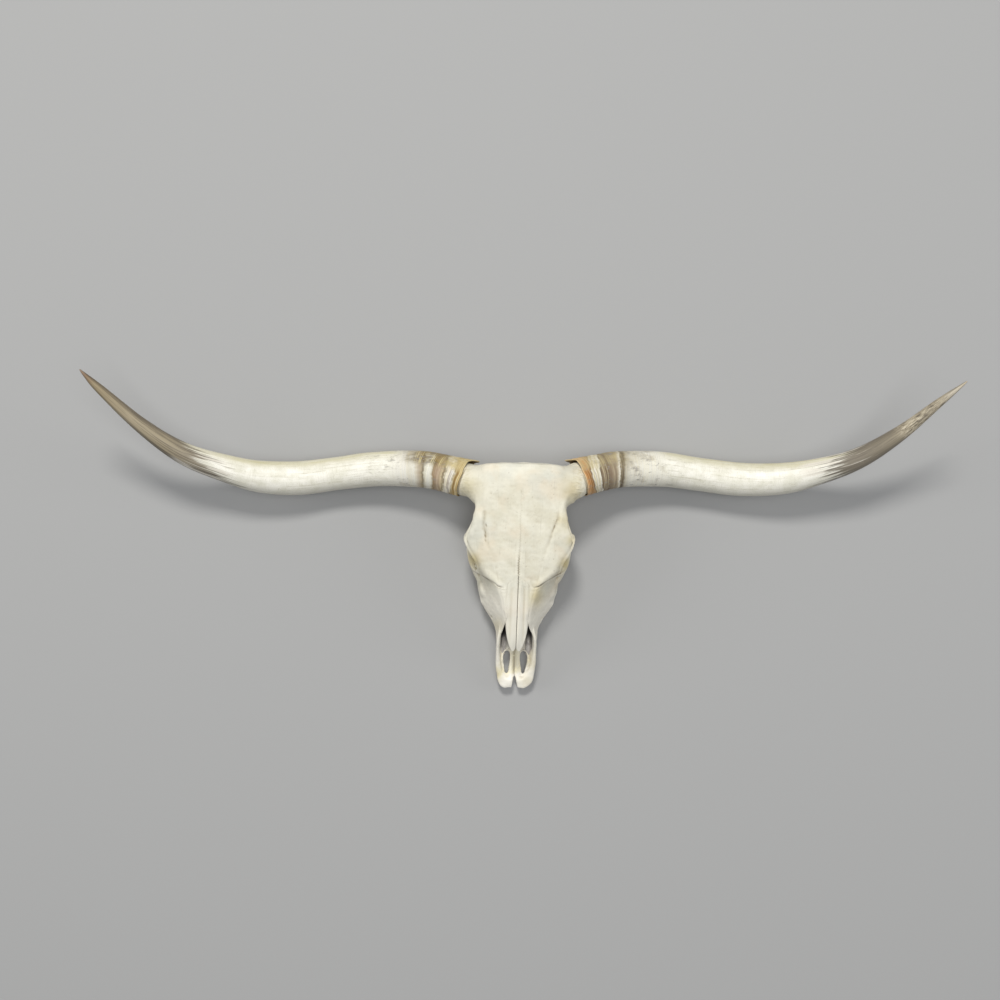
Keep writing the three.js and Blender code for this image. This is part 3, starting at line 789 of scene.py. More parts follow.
def eyeRim(side):
    slide = 0 if side > 0 else 5.5  # the right eye's outer corner sits a little nearer the snout
    stations = [(side * x, y - slide * bell(y + 10, 14) * ease(x, 104, 112), z, 5.2, 6.4)
                for x, y, z in eyeRing + eyeRing[:2]]
    return bar("eyeRim", stations, 120, 20, up=(1, 0, 0))


def thinParts(side):
    spurX, spurR = ((6.6, 4.4) if side > 0 else (-9.2, 3.2))
    return [
        eyeRim(side),
        bar("cheekArch", onSide(side, [
            (80, -136, 63, 3, 6), (86, -113, 72, 7, 13), (97, -88, 78, 8.5, 17), (106, -58, 74, 6.5, 13),
            (108, -24, 74, 5.4, 12), (104, 12, 79, 5.4, 11), (95, 40, 88, 6.5, 10.5), (80, 60, 97, 12, 12),
            (64, 74, 99, 13, 13)]), 60),
        bar("eyePost", onSide(side, [
            (114, -8, 112, 6, 8), (113, -4, 96, 6, 8), (109, 2, 82, 6, 8)]), 20, up=(0, 1, 0)),
        bar("browEdge", onSide(side, [(98, 42, 138, 3, 3), (107, 12, 138, 4, 4), (114.5, -9, 137, 5, 5),
                                      (117, -16 - (side < 0) * 3, 136, 5.4, 5)]), 24),
        bar("winged", onSide(side, [(21, 26, 44, 4, 8), (22, 4, 35, 3.2, 17), (25, -24, 32, 3, 19),
                                    (29, -50, 34, 4, 14)]), 40),
        bar("snoutBar", onSide(side, [
            (36.2, -212, 90, 2.6, 5), (39, -230, 82, 4, 9), (41.6, -252, 69, 4.5, 11),
            (41.8, -284, 50, 4.5, 10), (40, -318, 36, 5, 7), (34, -340, 28.5, 7, 6),
            (22, -350.5, 27, 9, 5.5), (14, -352.5, 27, 6, 5)]), 70),
        bar("palateSpur", [
            (spurX, -350, 26, spurR + 2, 5), (spurX, -332, 28, spurR + 1, 5), (spurX, -306, 31, spurR, 4.4),
            (spurX * 0.95, -268, 35, spurR - 0.4, 3.8), (side * 6, -236, 37, 3, 3)], 50),
        bar("fissureLip", onSide(side, [(28.6, -300, 36, 1.4, 2.6), (28.8, -286, 39, 1.5, 3.2),
                                        (24.6, -274.2, 41.5, 1.7, 3.6), (17.5, -271.6, 41.5, 1.6, 3.4),
                                        (12, -276, 40, 1.4, 2.4)]), 30, 12),
        blob("snoutLobe", (side * 20, -345, 26.5), (17, 13, 5)),
    ]


def hollowCuts(side):
    return [
        blob("eyeSocket", (side * 119, -54, 115), (47, 31.5, 30.5), (0, side * -6, side * -20)),
        blob("eyeDeep", (side * 78, -32, 106), (26, 24, 17), (0, 0, side * -30)),
        blob("templeHollow", (side * 94, 27, 112), (25, 42, 32), (0, 0, side * 8)),
        blob("lowerHollow", (side * 84, -22, 60), (19, 42, 19), (0, side * 10, 0)),
    ]


def smallCuts(side):
    return [
        bar("faceHole", onSide(side, [
            (76, -220, 55, 5, 6), (64, -207, 60, 5, 5.5), (52, -186, 66, 4, 4.5)]), 16),
        bar("earHole", onSide(side, [(96, 74, 78, 3.6, 3.6), (66, 66, 70, 3, 3)]), 8),
        bar("tearHole", onSide(side, [(100, -84, 122, 2.4, 3), (84, -96, 118, 2.0, 2.4)]), 8),
        blob("skullBaseHole", (side * 36, 84, 22), (7, 8, 9)),
        fissureCut(side),
    ]


noseCavity = [  # y, half width, roof, floor
    (-118, 10, 112, 74), (-150, 17, 122, 56), (-178, 21.5, 130, 47), (-194, 24.5, 142, 44),
    (-208, 27, 150, 41),
    (-222, 31, 150, 38), (-236, 35.4, 150, 37), (-253, 37.2, 150, 36), (-270, 37.6, 150, 35.5),
    (-290, 37.4, 150, 34), (-310, 35.8, 150, 31.5), (-326, 31, 150, 30), (-337, 22, 150, 29)]


def cavitySkin():
    keys = [-row[0] for row in noseCavity]
    ys = np.linspace(noseCavity[0][0], noseCavity[-1][0], 60)
    rows = smoothTable(keys, [row[1:] for row in noseCavity], -ys)
    rings = []
    for y, (half, roof, base) in zip(ys, rows):
        corners = [(0, roof), (half * 0.8, roof - 4), (half, (roof + base) / 2), (half * 0.92, base + 6),
                   (half * 0.6, base), (0, base)]
        rings.append(mirroredRing(y, corners, 26))
    return ringSkin("noseCavity", np.array(rings))


def slab(name, corners, low, high, level=0.0, lean=0.0):
    # plan outline raised to a block, leaned along y above a level
    clearSelection()
    bpy.ops.mesh.primitive_circle_add(vertices=len(corners), radius=1, fill_type="NGON")
    obj = bpy.context.object
    obj.name = name
    writePoints(obj, np.array([(x, y, low) for x, y in corners], float))
    bpy.ops.object.mode_set(mode="EDIT")
    bpy.ops.mesh.select_all(action="SELECT")
    bpy.ops.mesh.extrude_region_move(TRANSFORM_OT_translate={"value": (0, 0, (high - low) * mm)})
    bpy.ops.mesh.select_all(action="SELECT")
    bpy.ops.mesh.quads_convert_to_tris()
    bpy.ops.object.mode_set(mode="OBJECT")
    points = readPoints(obj)
    points[:, 1] += (points[:, 2] - level) * lean
    writePoints(obj, points)
    return faceOut(obj)


fissureOutline = [(26.8, -284), (26.6, -296), (25.4, -308), (22.6, -322), (19.2, -328.5), (15.8, -325),
                  (13.8, -314), (12.6, -301), (12.2, -283), (16, -276), (23, -276.5)]
snoutGap = [(-0.9, -330), (-2.6, -339), (-3.9, -349), (-4.4, -362), (-4.6, -378), (7.4, -378), (6.8, -362),
            (5.4, -348), (2.8, -338), (0.9, -330)]


def fissureCut(side):
    loop = threaded(fissureOutline + fissureOutline[:1], 37)[:-1]
    return slab("fissure", loop * [side, 1], 0, 60)


nasalPlate = {
    "y": [-96, -104, -118, -160, -203, -222, -238, -252, -262, -268],
    "outer": [3, 13, 24.5, 26, 25.2, 23.6, 20.6, 16.6, 12.6, 9.2],
    "inner": [0.6, 0.6, 0.6, 0.6, 0.6, 0.6, 0.7, 0.8, 1.6, 4.6],
    "thick": [4, 6, 6.5, 6.5, 6, 5.4, 4.8, 4.2, 3.4, 2.4],
    "freeY": [-190, -203, -222, -238, -252, -262, -268],
    "freeTop": [137.6, 133.2, 127.0, 120.5, 113.5, 107.5, 103.5],
    "furrow": {1: 2.1, -1: 1.2},
}


def nasalSkin(name, side, grow=0.0):
    # a curved plate flush with the head, free beyond the nasal slits
    ys = np.linspace(nasalPlate["y"][0], nasalPlate["y"][-1], 120)
    rows = smoothTable([-y for y in nasalPlate["y"]],
                       np.stack([nasalPlate[key] for key in ("outer", "inner", "thick")], axis=1), -ys)
    freeTop = smoothTable([-y for y in nasalPlate["freeY"]], [[z] for z in nasalPlate["freeTop"]], -ys)[:, 0]
    share = np.linspace(0, 1, 26)
    rings = []
    for y, (outer, inner, thick), freeZ in zip(ys, rows, freeTop):
        x = (inner - grow) + (outer - inner + 2 * grow) * share
        free = freeZ - 0.0165 * x**2
        held = crownHeight(x, y) if y > -206 else free
        top = held + (free - held) * ease(-y, 178, 203)
        furrow = nasalPlate["furrow"][side] * bell(x - 14, 3.8)
        rolls = 1.5 * bell(x - 5.5, 3.8) - furrow + 1.0 * bell(x - 20.5, 3)
        top = top + 0.5 + rolls * ease(-y, 104, 128) * (1 - ease(-y, 240, 264))
        rim = np.sqrt(np.clip(1 - (2 * share - 1)**8, 0, 1))
        above = top - thick * 0.28 * (1 - rim) + grow
        below = top - thick + thick * 0.4 * (1 - rim) - grow
        upper, lower = (np.stack([x * side, np.full(len(x), y), z], axis=1) for z in (above, below))
        rings.append(np.vstack([upper, lower[::-1]]))
    return ringSkin(name, np.array(rings))


# Surface features, as lines and spots in plan.

browGroove = {
    1: [(84, 54), (81, 30), (75, 12), (68, -6), (62, -25), (56, -43), (50.5, -63), (47, -83)],
    -1: [(-79, 54), (-80.5, 34), (-80, 16), (-77, -3), (-73.5, -21), (-65, -38), (-56, -56), (-51, -76)]}
browPits = {1: [(79, 28, 0.35), (74.6, 14, 0.9), (72, 6, 0.4)],
            -1: [(-75, 13, 0.75), (-76.5, -2, 0.5), (-76.6, -10, 0.8), (-76, -20, 0.45)]}
faceCrease = {
    1: [(118, -80), (105, -83), (92, -90), (75, -99), (59, -108.5), (46, -118), (36, -121), (29, -117)],
    -1: [(-120, -86), (-108, -90), (-90, -96), (-72, -104), (-56, -112.5), (-43, -121), (-32, -123),
         (-27, -118)]}
nasalSeam = {
    1: [(49, -73), (39.5, -115), (29.5, -155), (25.6, -196)],
    -1: [(-50.5, -76), (-42, -118), (-32, -157), (-25.6, -195)]}
middleSeam = [(0.5, 100), (-0.5, 70), (0.8, 48), (-0.6, 26), (1.2, 4), (0.8, -30), (-0.2, -56), (-0.9, -72),
              (0.0, -96), (0.2, -114)]
templeLine = {1: [(101, 84), (93, 63), (88, 42), (88.5, 14), (97, -4)],
              -1: [(-103, 82), (-100, 60), (-97, 40), (-98, 14), (-106, -6)]}


browHollows = [(50, 34, 36, 2.2), (-52, 30, 36, 2.2), (30, -30, 22, 1.0), (-30, -34, 22, 1.0),
               (66, -50, 20, -1.4), (-68, -48, 20, -1.4)]   # x, y, width, depth, minus where it swells out


def browRelief(points, wavy, up, here, side):
    # the long groove beside the brow, a swelling outside it, and the pits in its floor, darkened by painted
    # shade in the groove and the pits
    x, y = points[:, 0], points[:, 1]
    gap, t = nearLine(wavy, browGroove[side])
    fade = ease(t, 0.0, 0.16) * (1 - ease(t, 0.7, 1.0)) * up * here
    outer = np.hypot(x * side - 88, (y - 30) * 0.45)
    lift = 1.8 * bell(outer, 7) * up - 1.6 * bell(gap, 4.8) * fade * (1 - 0.55 * ease(t, 0.4, 0.7))
    seamsAndShade = (0.16 - 0.12 * ease(t, 0.42, 0.6)) * bell(gap, 2.6) * fade * (0.7 + 0.3 * np.sin(t * 31))
    for pitX, pitY, depth in browPits[side]:
        slant = 0.3 * side
        hole = np.hypot((x - pitX - slant * (y - pitY)) * 1.5, ((x - pitX) * slant + (y - pitY)) * 0.5)
        lift -= 2.4 * depth * bell(hole, 2.0) * up
        seamsAndShade += 0.66 * depth * bell(hole, 1.8) * up
    return lift, seamsAndShade


def creaseRelief(points, here, side):
    # the crease that runs from the eye to the nasal bones, swollen behind it, with a dark seam line along it
    # and a painted shadow before it
    x = points[:, 0] * side
    gap, t = nearLine(points, faceCrease[side])
    behind = np.interp(x, [abs(spot[0]) for spot in faceCrease[side]][::-1],
                       [spot[1] for spot in faceCrease[side]][::-1])
    step = points[:, 1] - behind
    across = ease(points[:, 2], 84, 104) * here * (1 - ease(x, 106, 120)) * ease(x, 27, 44)
    line, wash = (0.85, 0.30) if side > 0 else (0.6, 0.24)
    lift = (2.3 * bell(gap - 6, 9) * (step > 0) - 1.5 * bell(gap, 1.9)) * across
    seamsAndShade = line * bell(gap, 1.6) * across * (0.6 + 0.4 * np.sin(t * 19 + side))
    return lift, seamsAndShade + wash * bell(gap + 2.5, 4.5) * (step < 0) * across


def nasalRelief(wavy, up, here, side):
    gap, t = nearLine(wavy, nasalSeam[side])
    shown = up * here * (0.3 + 0.7 * ease(t, 0.35, 0.6))
    return (0.4 * bell(gap - 4, 3) - 0.4 * bell(gap, 1.4)) * shown, 0.12 * bell(gap, 1.2) * shown


def middleRelief(points, up):
    # the seam down the forehead, raised strips beside it, and the cleft that it opens into: the seam drawn
    # dark, the cleft darkened by painted shade
    x, ahead = points[:, 0], -points[:, 1]
    gap, _ = nearLine(points + np.array([0.9, 0, 0]) * np.sin(points[:, 1:2] * 1.1), middleSeam)
    fade = up * (0.35 + 0.65 * ease(ahead, -40, 10))
    cleft = ease(ahead, 50, 62) * up
    lift = -0.4 * bell(gap, 1.1) * fade - 1.1 * bell(gap, 1.2) * cleft
    for strip in (-5.5, 6.0, 11.0):
        lift += 0.7 * bell(x - strip, 2.4) * ease(ahead, 20, 66) * (1 - ease(ahead, 96, 120)) * up
    seamsAndShade = (0.26 + 0.3 * bell(ahead + 33, 4)) * bell(gap, 1.1) * fade
    return lift, seamsAndShade + 0.5 * bell(gap, 1.0) * cleft


def backRelief(points, normals):
    # the rough arc and the middle ridge on the back of the skull
    x, z = points[:, 0], points[:, 2]
    behind = ease(normals[:, 1], 0.3, 0.75) * (1 - ease(np.abs(x), 80, 96))
    arc = z - 150 + 0.0045 * x**2
    lift = 2.6 * bell(arc, 7) - 2.2 * bell(arc + 17, 9) + 3.2 * bell(np.hypot(x, z - 138), 10)
    return behind * (lift + 1.3 * bell(x, 3.5) * ease(z, 62, 80) * (1 - ease(z, 130, 146)))


def snoutRelief(points, up):
    # the groove between the two bars at the front, darkened by painted shade
    valley = ease(-points[:, 1], 256, 272) * (1 - ease(-points[:, 1], 326, 336)) * up
    fromGroove = points[:, 0] + 2.4
    return -1.9 * bell(fromGroove, 2.4) * valley, 0.16 * bell(fromGroove, 2.2) * valley


def holeRelief(points, up):
    # small holes for blood vessels, scattered over the forehead, each darkened by painted shade
    lift, seamsAndShade = np.zeros(len(points)), np.zeros(len(points))
    rng = np.random.default_rng(41)
    for _ in range(44):
        x = rng.uniform(-100, 100)
        y = rng.uniform(-90, 140)
        size = rng.uniform(0.6, 1.1)
        hole = bell(np.hypot(points[:, 0] - x, points[:, 1] - y), size) * up
        lift -= 0.7 * hole
        seamsAndShade += 0.35 * hole
    return lift, seamsAndShade


def palateRelief(points, normals):
    # cross seams of the palate
    lift, seamsAndShade = np.zeros(len(points)), np.zeros(len(points))
    down = ease(-normals[:, 2], 0.3, 0.7)
    for y, depth in ((-62, 0.55), (-228, 0.35)):
        across = bell(points[:, 1] - y - 1.5 * np.sin(points[:, 0] / 3.1), 1.2) * down
        lift -= 0.6 * across
        seamsAndShade += depth * across
    return lift, seamsAndShade


def surfaceGrain(points):
    root = rootOf(points)
    slow = ripple(points, 46, 5) * 0.45 + ripple(points, 17, 6) * 0.17 + ripple(points, 7.5, 7) * 0.07
    return slow + root * (ripple(points * [0.25, 1, 1], 4.2, 8) * 0.30 + ripple(points, 9, 9) * 0.25)


def reliefOf(points, normals):
    # height added along the normal, and the darkening painted with it: dark seams, painted shade in grooves,
    # pits, holes and the cleft, and a painted shadow before the face crease
    x, y = points[:, 0], points[:, 1]
    up = ease(normals[:, 2], 0.05, 0.45)
    wavy = points.copy()
    wavy[:, 0] += 0.6 * np.sin(y / 7.7) + 0.3 * np.sin(y / 2.9)
    wavy[:, 1] += 0.6 * np.sin(x / 4.3)
    layers = [middleRelief(points, up), snoutRelief(points, up), holeRelief(points, up),
              palateRelief(points, normals)]
    lift = surfaceGrain(points) + backRelief(points, normals)
    lift += 1.6 * bell(np.hypot(x * 0.5, y - 118), 26) * up   # the swelling of the poll
    for side in (1, -1):
        here = ease(x * side, -6, 6)
        layers += [browRelief(points, wavy, up, here, side), creaseRelief(points, here, side),
                   nasalRelief(wavy, up, here, side)]
        lift += 1.0 * bell(nearLine(points, templeLine[side])[0], 5) * up * here
    for spotX, spotY, wide, deep in browHollows:
        lift -= deep * bell(np.hypot(x - spotX, (y - spotY) * 0.8), wide) * up
    lift += sum(layer[0] for layer in layers)
    return lift, np.clip(sum(layer[1] for layer in layers), 0, 1)


def rootOf(points):
    # 1 on the rough bone just short of the sheaths
    gap = np.abs(np.abs(points[:, 0]) - 128)
    return np.clip(1 - gap / 24, 0, 1) * ease(points[:, 1], 56, 78) * ease(points[:, 2], 60, 80)


def relaxed(obj, points, rounds, share=1.0):
    # points drawn towards the mean of their neighbours, by a share that may differ from point to point
    edges = np.empty(len(obj.data.edges) * 2, dtype=np.int32)
    obj.data.edges.foreach_get("vertices", edges)
    a, b = edges.reshape(-1, 2).T
    count = len(obj.data.vertices)
    links = np.maximum(np.bincount(a, minlength=count) + np.bincount(b, minlength=count), 1)[:, None]
    share = np.broadcast_to(share, count)[:, None]
    for _ in range(rounds):
        total = np.stack([np.bincount(a, points[b, k], count) + np.bincount(b, points[a, k], count)
                          for k in range(3)], axis=1)
        points = points + (total / links - points) * share
    return points


def creviceOf(obj, rounds=8):
    # how far the skin sinks below its smoothed neighbourhood: + in hollows, - on ridges
    start = readPoints(obj)
    return np.einsum("ij,ij->i", relaxed(obj, start, rounds) - start, readNormals(obj))


tuck = {
    "from": (92, 48, 62),   # the core's points lie beyond this x, y and z
    "reach": 130,           # no bone runs further into the sheath than this
    "clear": 0.9,
    "fade": 7,              # the hold sets in over this length before the rim
}


def tuckedIn(points):
    # holds the horn core just inside its sheath, from the sheath's ragged rim outwards
    points = points.copy()
    for side, key in ((1, "left"), (-1, "right")):
        thread = threaded(hornShape[key], hornShape["rings"])
        run = np.r_[0, np.cumsum(np.linalg.norm(np.diff(thread[:, :3], axis=0), axis=1))]
        ahead, back, lift = hornAxes(thread[:, :3], side)
        core = np.flatnonzero(((points * [side, 1, 1]) > tuck["from"]).all(axis=1))
        first = thread[run < tuck["reach"]]
        nearest = np.argmin(np.linalg.norm(points[core, None] - first[None, :, :3], axis=2), axis=1)
        offset = points[core] - first[nearest, :3]
        along = np.einsum("ij,ij->i", offset, ahead[nearest])
        s = run[nearest] + along
        radial = offset - ahead[nearest] * along[:, None]
        far = np.linalg.norm(radial, axis=1)
        turn = np.arctan2(np.einsum("ij,ij->i", radial, lift[nearest]),
                          np.einsum("ij,ij->i", radial, back[nearest]))
        room = first[nearest, 3] - tuck["clear"] - wallAt(s)
        excess = np.clip(far - room, 0, None) * ease(s - rimLeanAt(turn), -tuck["fade"], 0)
        points[core] -= radial / far[:, None] * excess[:, None]
    return points


def bothSides(make):
    # what a function makes for the left side, then for the right
    return make(1) + make(-1)


def carveAll(obj, cutters):
    for cutter in cutters:
        carve(obj, cutter)


def relaxBlank(blank):
    # evens out the flare into the horns and the front of the snout, most of all its end
    points = readPoints(blank)
    x, y, z = np.abs(points[:, 0]), points[:, 1], points[:, 2]
    flare = np.exp(-((x - 98) / 24)**4) * ease(y, 36, 62) * ease(z, 112, 150)
    points = relaxed(blank, points, 90, flare * 0.9)
    points = relaxed(blank, points, 5, ease(-y, 246, 276) * 0.6)
    return relaxed(blank, points, 14, ease(-y, 316, 332) * 0.75)


def pushBlank(points, y, z):
    # uneven corners of the poll, a longer snout and a slight bony point by one horn root,
    # placed by the y and z that the points had before they were relaxed
    crest = ease(y, 88, 128) * ease(z, 96, 130)
    points[:, 1] += crest * (4.5 * bell(points[:, 0] - 101, 18) - 2.4 * bell(points[:, 0] + 66, 22))
    points[:, 1] -= 4.2 * ease(-y, 322, 350)
    knob = bell(points[:, 0] - 116, 5) * bell(points[:, 1] - 71, 8) * bell(z - 124, 26)
    points[:, 0] += 1.5 * knob
    points[:, 1] -= 4.2 * knob
    return points


def sculptBlank(blank):
    y, z = readPoints(blank)[:, 1:].T
    points = pushBlank(relaxBlank(blank), y, z)
    writePoints(blank, points)
    lift, _ = reliefOf(points, readNormals(blank))
    points += readNormals(blank) * lift[:, None]
    points[:, 2] = np.maximum(points[:, 2], 0.0)
    points[:, 0] += 1.7 * ease(np.abs(points[:, 0]), 28, 38) * ease(-points[:, 1], 205, 240)
    writePoints(blank, tuckedIn(points))


def buildBlank():
    soft = [headSkin(), blob("brainCase", (0, 52, 108), (68, 84, 70)),
            blob("nuchalKnob", (0, 143, 132), (26, 10, 22))]
    blank = fuse(joinUp("skullBlank", soft + bothSides(softMasses)), head["softVoxel"], head["softRounds"])
    inner = [blank, bar("skullBase", [(0, 118, 28, 20, 9), (0, 84, 28, 18, 9), (0, 40, 38, 15, 9),
                                      (0, -10, 46, 14, 9)])]
    blank = fuse(joinUp("skullBlank", inner + bothSides(innerMasses)), head["carveVoxel"], 1)
    print("blank joined", len(blank.data.polygons))
    carveAll(blank, [cavitySkin(), blob("brainHole", (0, 140, 47), (17, 42, 15.5)),
                     blob("palateVault", (0, -150, 18), (41, 132, 14)),
                     blob("throat", (0, -34, 40), (17, 34, 19))]
             + bothSides(hollowCuts))
    blank = fuse(joinUp("skullBlank", [blank] + bothSides(thinParts)), head["fineVoxel"], 1)
    openings = [slab("snoutGap", snoutGap, 0, 70)]
    openings += [blob("eyeOpening", (side * 125, -54, 115), (22, 26, 25), (0, side * -6, side * -20))
                 for side in (1, -1)]
    carveAll(blank, openings + bothSides(smallCuts))
    fuse(blank, head["fineVoxel"], head["fineRounds"])
    sculptBlank(blank)
    for side in (1, -1):
        carve(blank, nasalSkin("nasalBed", side, 0.35))
    print("blank carved", len(blank.data.polygons))
    return blank


def sutureLine(side):
    x = np.linspace(0.0, 140, 260)
    keys = [0, 10, 18, 27, 40, 52, 64, 80, 140]
    y = smoothTable(keys, [[v] for v in (-112, -114, -121, -127, -126, -119, -113, -109, -109)], x)[:, 0]
    y += 0.9 * np.sin(x * 2 * math.pi / 7.3 + side) + 0.5 * np.sin(x * 2 * math.pi / 3.4)
    return np.stack([x * side, y], axis=1)


def faceBlock(grow):
    line = np.vstack([sutureLine(-1)[::-1], sutureLine(1)[1:]]) + [0, grow]
    return slab("faceBlock", np.vstack([line, [(150, -440), (-150, -440)]]), -30, 240, 150, -0.26)


def sideBlock(side, grow):
    edge = 0.3 - grow
    corners = [(edge, -460), (160, -460), (160, 0), (edge, 0)]
    return slab("sideBlock", onSide(side, corners), -40, 250)


snoutCut = {"wide": 160, "far": -760, "joint": -288, "back": -207, "level": 30, "lean": 1.05}


def snoutBlock(grow):
    # leans back from the joint under the snout, and reaches no further back than its rear wall
    wide, far = snoutCut["wide"], snoutCut["far"]
    joint, back = snoutCut["joint"] + grow, snoutCut["back"] + grow
    block = slab("snoutBlock", [(10 - wide, far), (wide - 10, far), (wide - 10, joint), (10 - wide, joint)],
                 -40, 250, snoutCut["level"], snoutCut["lean"])
    end = slab("snoutEnd", [(-wide, far), (wide, far), (wide, back), (-wide, back)], -50, 260)
    return carve(block, end, "INTERSECT")


def keepLargest(obj):
    # drops the crumbs that a cut leaves behind
    name = obj.name
    pick(obj)
    bpy.ops.mesh.separate(type="LOOSE")
    parts = sorted(bpy.context.selected_objects, key=lambda part: len(part.data.vertices))
    for crumb in parts[:-1]:
        bpy.data.objects.remove(crumb, do_unlink=True)
    parts[-1].name = name
    return parts[-1]


teeth = {
    # y, half width across, half length, x, lobes
    "row": [(-207, 7, 8, 47, 1), (-190, 8.5, 8.5, 51, 1), (-172, 10, 9.5, 55, 1), (-150, 11, 11.6, 58.5, 2),
            (-124, 11.5, 13, 60.5, 2), (-97, 11, 13, 60.5, 2)],
    "rootTop": 34,
}


def toothSkin(side, y, wide, long, x, lobes):
    # a ribbed crown worn flat, with crescent pits in its chewing face
    turn = np.linspace(0, 2 * math.pi, 64, endpoint=False)
    c, s = np.cos(turn), np.sin(turn)
    outline = 1 / (np.abs(c)**3.2 + np.abs(s)**3.2)**(1 / 3.2)
    outward = c * side
    waist = 0.13 * bell(s, 0.2) * (lobes - 1) * (outward < 0)
    ribs = sum(0.09 * bell(s - spot, 0.12) for spot in (-0.86, 0.0, 0.86)) * (outward > 0)
    outline = outline * (1 - waist + ribs)
    rows = [(z, 1 - 0.004 * abs(z - 10) + 0.012 * math.sin(z / 3), 0.0)
            for z in np.linspace(teeth["rootTop"], 0.5, 16)]   # height, size, and 1 on the biting face
    rows += [(0.0, 0.97, 0.0), (0.0, 0.90, 0.0), (0.0, 0.82, 0.5)]
    rows += [(0.0, size, 1.0) for size in (0.7, 0.56, 0.42, 0.28, 0.14)]
    rings, bite = [], []
    for z, size, worn in rows:
        u, v = c * outline * size, s * outline * size
        pits = np.zeros(len(turn))
        for middle in ((-0.45, 0.45) if lobes == 2 else (0.0,)):
            reach = 0.46 if lobes == 2 else 0.62
            bow = 0.12 * np.cos((v - middle) / reach * 1.5) * side
            for offset in (-0.24, 0.3):
                pits = np.maximum(pits, bell(u - offset - bow, 0.10) * (np.abs(v - middle) < reach * 0.8))
        rings.append(np.stack([x * side + u * wide, y + v * long, z + worn * (0.5 + 2.2 * pits)], axis=1))
        bite.append(np.where(worn > 0, 0.35 + 0.65 * pits, 0.12 * (z > 14)))
    masks = {"bite": np.array(bite), "enamel": np.ones((len(rows), len(turn)))}
    return ringSkin("tooth", np.array(rings), masks)


blank = buildBlank()
cranium = copyOf(blank, "craniumBone")
carve(cranium, faceBlock(0.25))
face = carve(blank, faceBlock(-0.1), "INTERSECT")
bonePieces = {"cranium": cranium}
for label, side in (("left", 1), ("right", -1)):
    half = carve(copyOf(face, "faceHalf"), sideBlock(side, 0.0), "INTERSECT")
    front = copyOf(half, "premaxilla" + label.capitalize())
    bonePieces["premaxilla_" + label] = carve(front, snoutBlock(-0.35), "INTERSECT")
    bonePieces["maxilla_" + label] = carve(half, snoutBlock(0.0))
    half.name = "maxilla" + label.capitalize()
    bonePieces["nasal_" + label] = nasalSkin("nasal" + label.capitalize(), side)
bpy.data.objects.remove(face, do_unlink=True)
print("bones parted")


def insideBall(points, centre, radii):
    # 1 on the surface of an egg shape, less inside it
    return np.linalg.norm((points - np.array(centre)) / np.array(radii), axis=1)


def fromSutures(points):
    # distance in plan from the nearest cut between two bones
    seam = np.minimum(nearLine(points, sutureLine(1)[::6])[0], nearLine(points, sutureLine(-1)[::6])[0])
    plateEdge = list(zip(nasalPlate["outer"], nasalPlate["y"]))[:6]
    folded = points * np.where(points[:, :1] < 0, [-1, 1, 1], 1)
    return np.minimum(seam, nearLine(folded, plateEdge)[0])


def hollowShadeMask(points, normals):
    # painted shade in the brain hole, the eye sockets and the temple hollows
    hollow = 1 - ease(insideBall(points, (0, 124, 47), (16, 30, 15)), 0.9, 1.1)
    for side in (1, -1):
        socket = 1 - ease(insideBall(points, (side * 88, -40, 112), (26, 36, 32)), 0.72, 1.05)
        temple = 1 - ease(insideBall(points, (side * 84, 26, 106), (26, 46, 36)), 0.8, 1.15)
        inSocket = socket * ease(-normals[:, 0] * side + 0.9, 0, 0.4)
        hollow = np.maximum(hollow, np.maximum(inSocket, 0.8 * temple))
    return hollow


def noseMask(points):
    x, ahead, z = np.abs(points[:, 0]), -points[:, 1], points[:, 2]
    half = np.interp(ahead, [-row[0] for row in noseCavity], [row[1] for row in noseCavity])
    below = np.interp(ahead, [190, 226, 262, 300], [124, 92, 62, 44])
    return (ease(half + 2.6 - x, 0, 1.6) * ease(z, 30, 42) * ease(ahead, 120, 140)
            * (1 - ease(ahead, 264, 276)) * (1 - ease(z - below, -6, 6)))


stainSpots = [   # x, y, width, amount
    (98, 30, 20, 0.7), (-104, -66, 17, 0.9), (104, -68, 17, 0.9), (112, 96, 26, 0.55), (-116, 98, 24, 0.4),
    (-44, -214, 18, 0.5), (42, -300, 16, 0.4), (-43, -330, 16, 0.5), (28, -345, 14, 0.35),
    (112, -14, 12, 0.5)]


def stainMask(points):
    stain = bell(np.hypot(points[:, 0] - 41, (points[:, 1] + 140) * 0.6), 17) * 0.7
    for x, y, wide, amount in stainSpots:
        stain = stain + bell(np.hypot(points[:, 0] - x, points[:, 1] - y), wide) * amount
    return np.clip(stain, 0, 1)


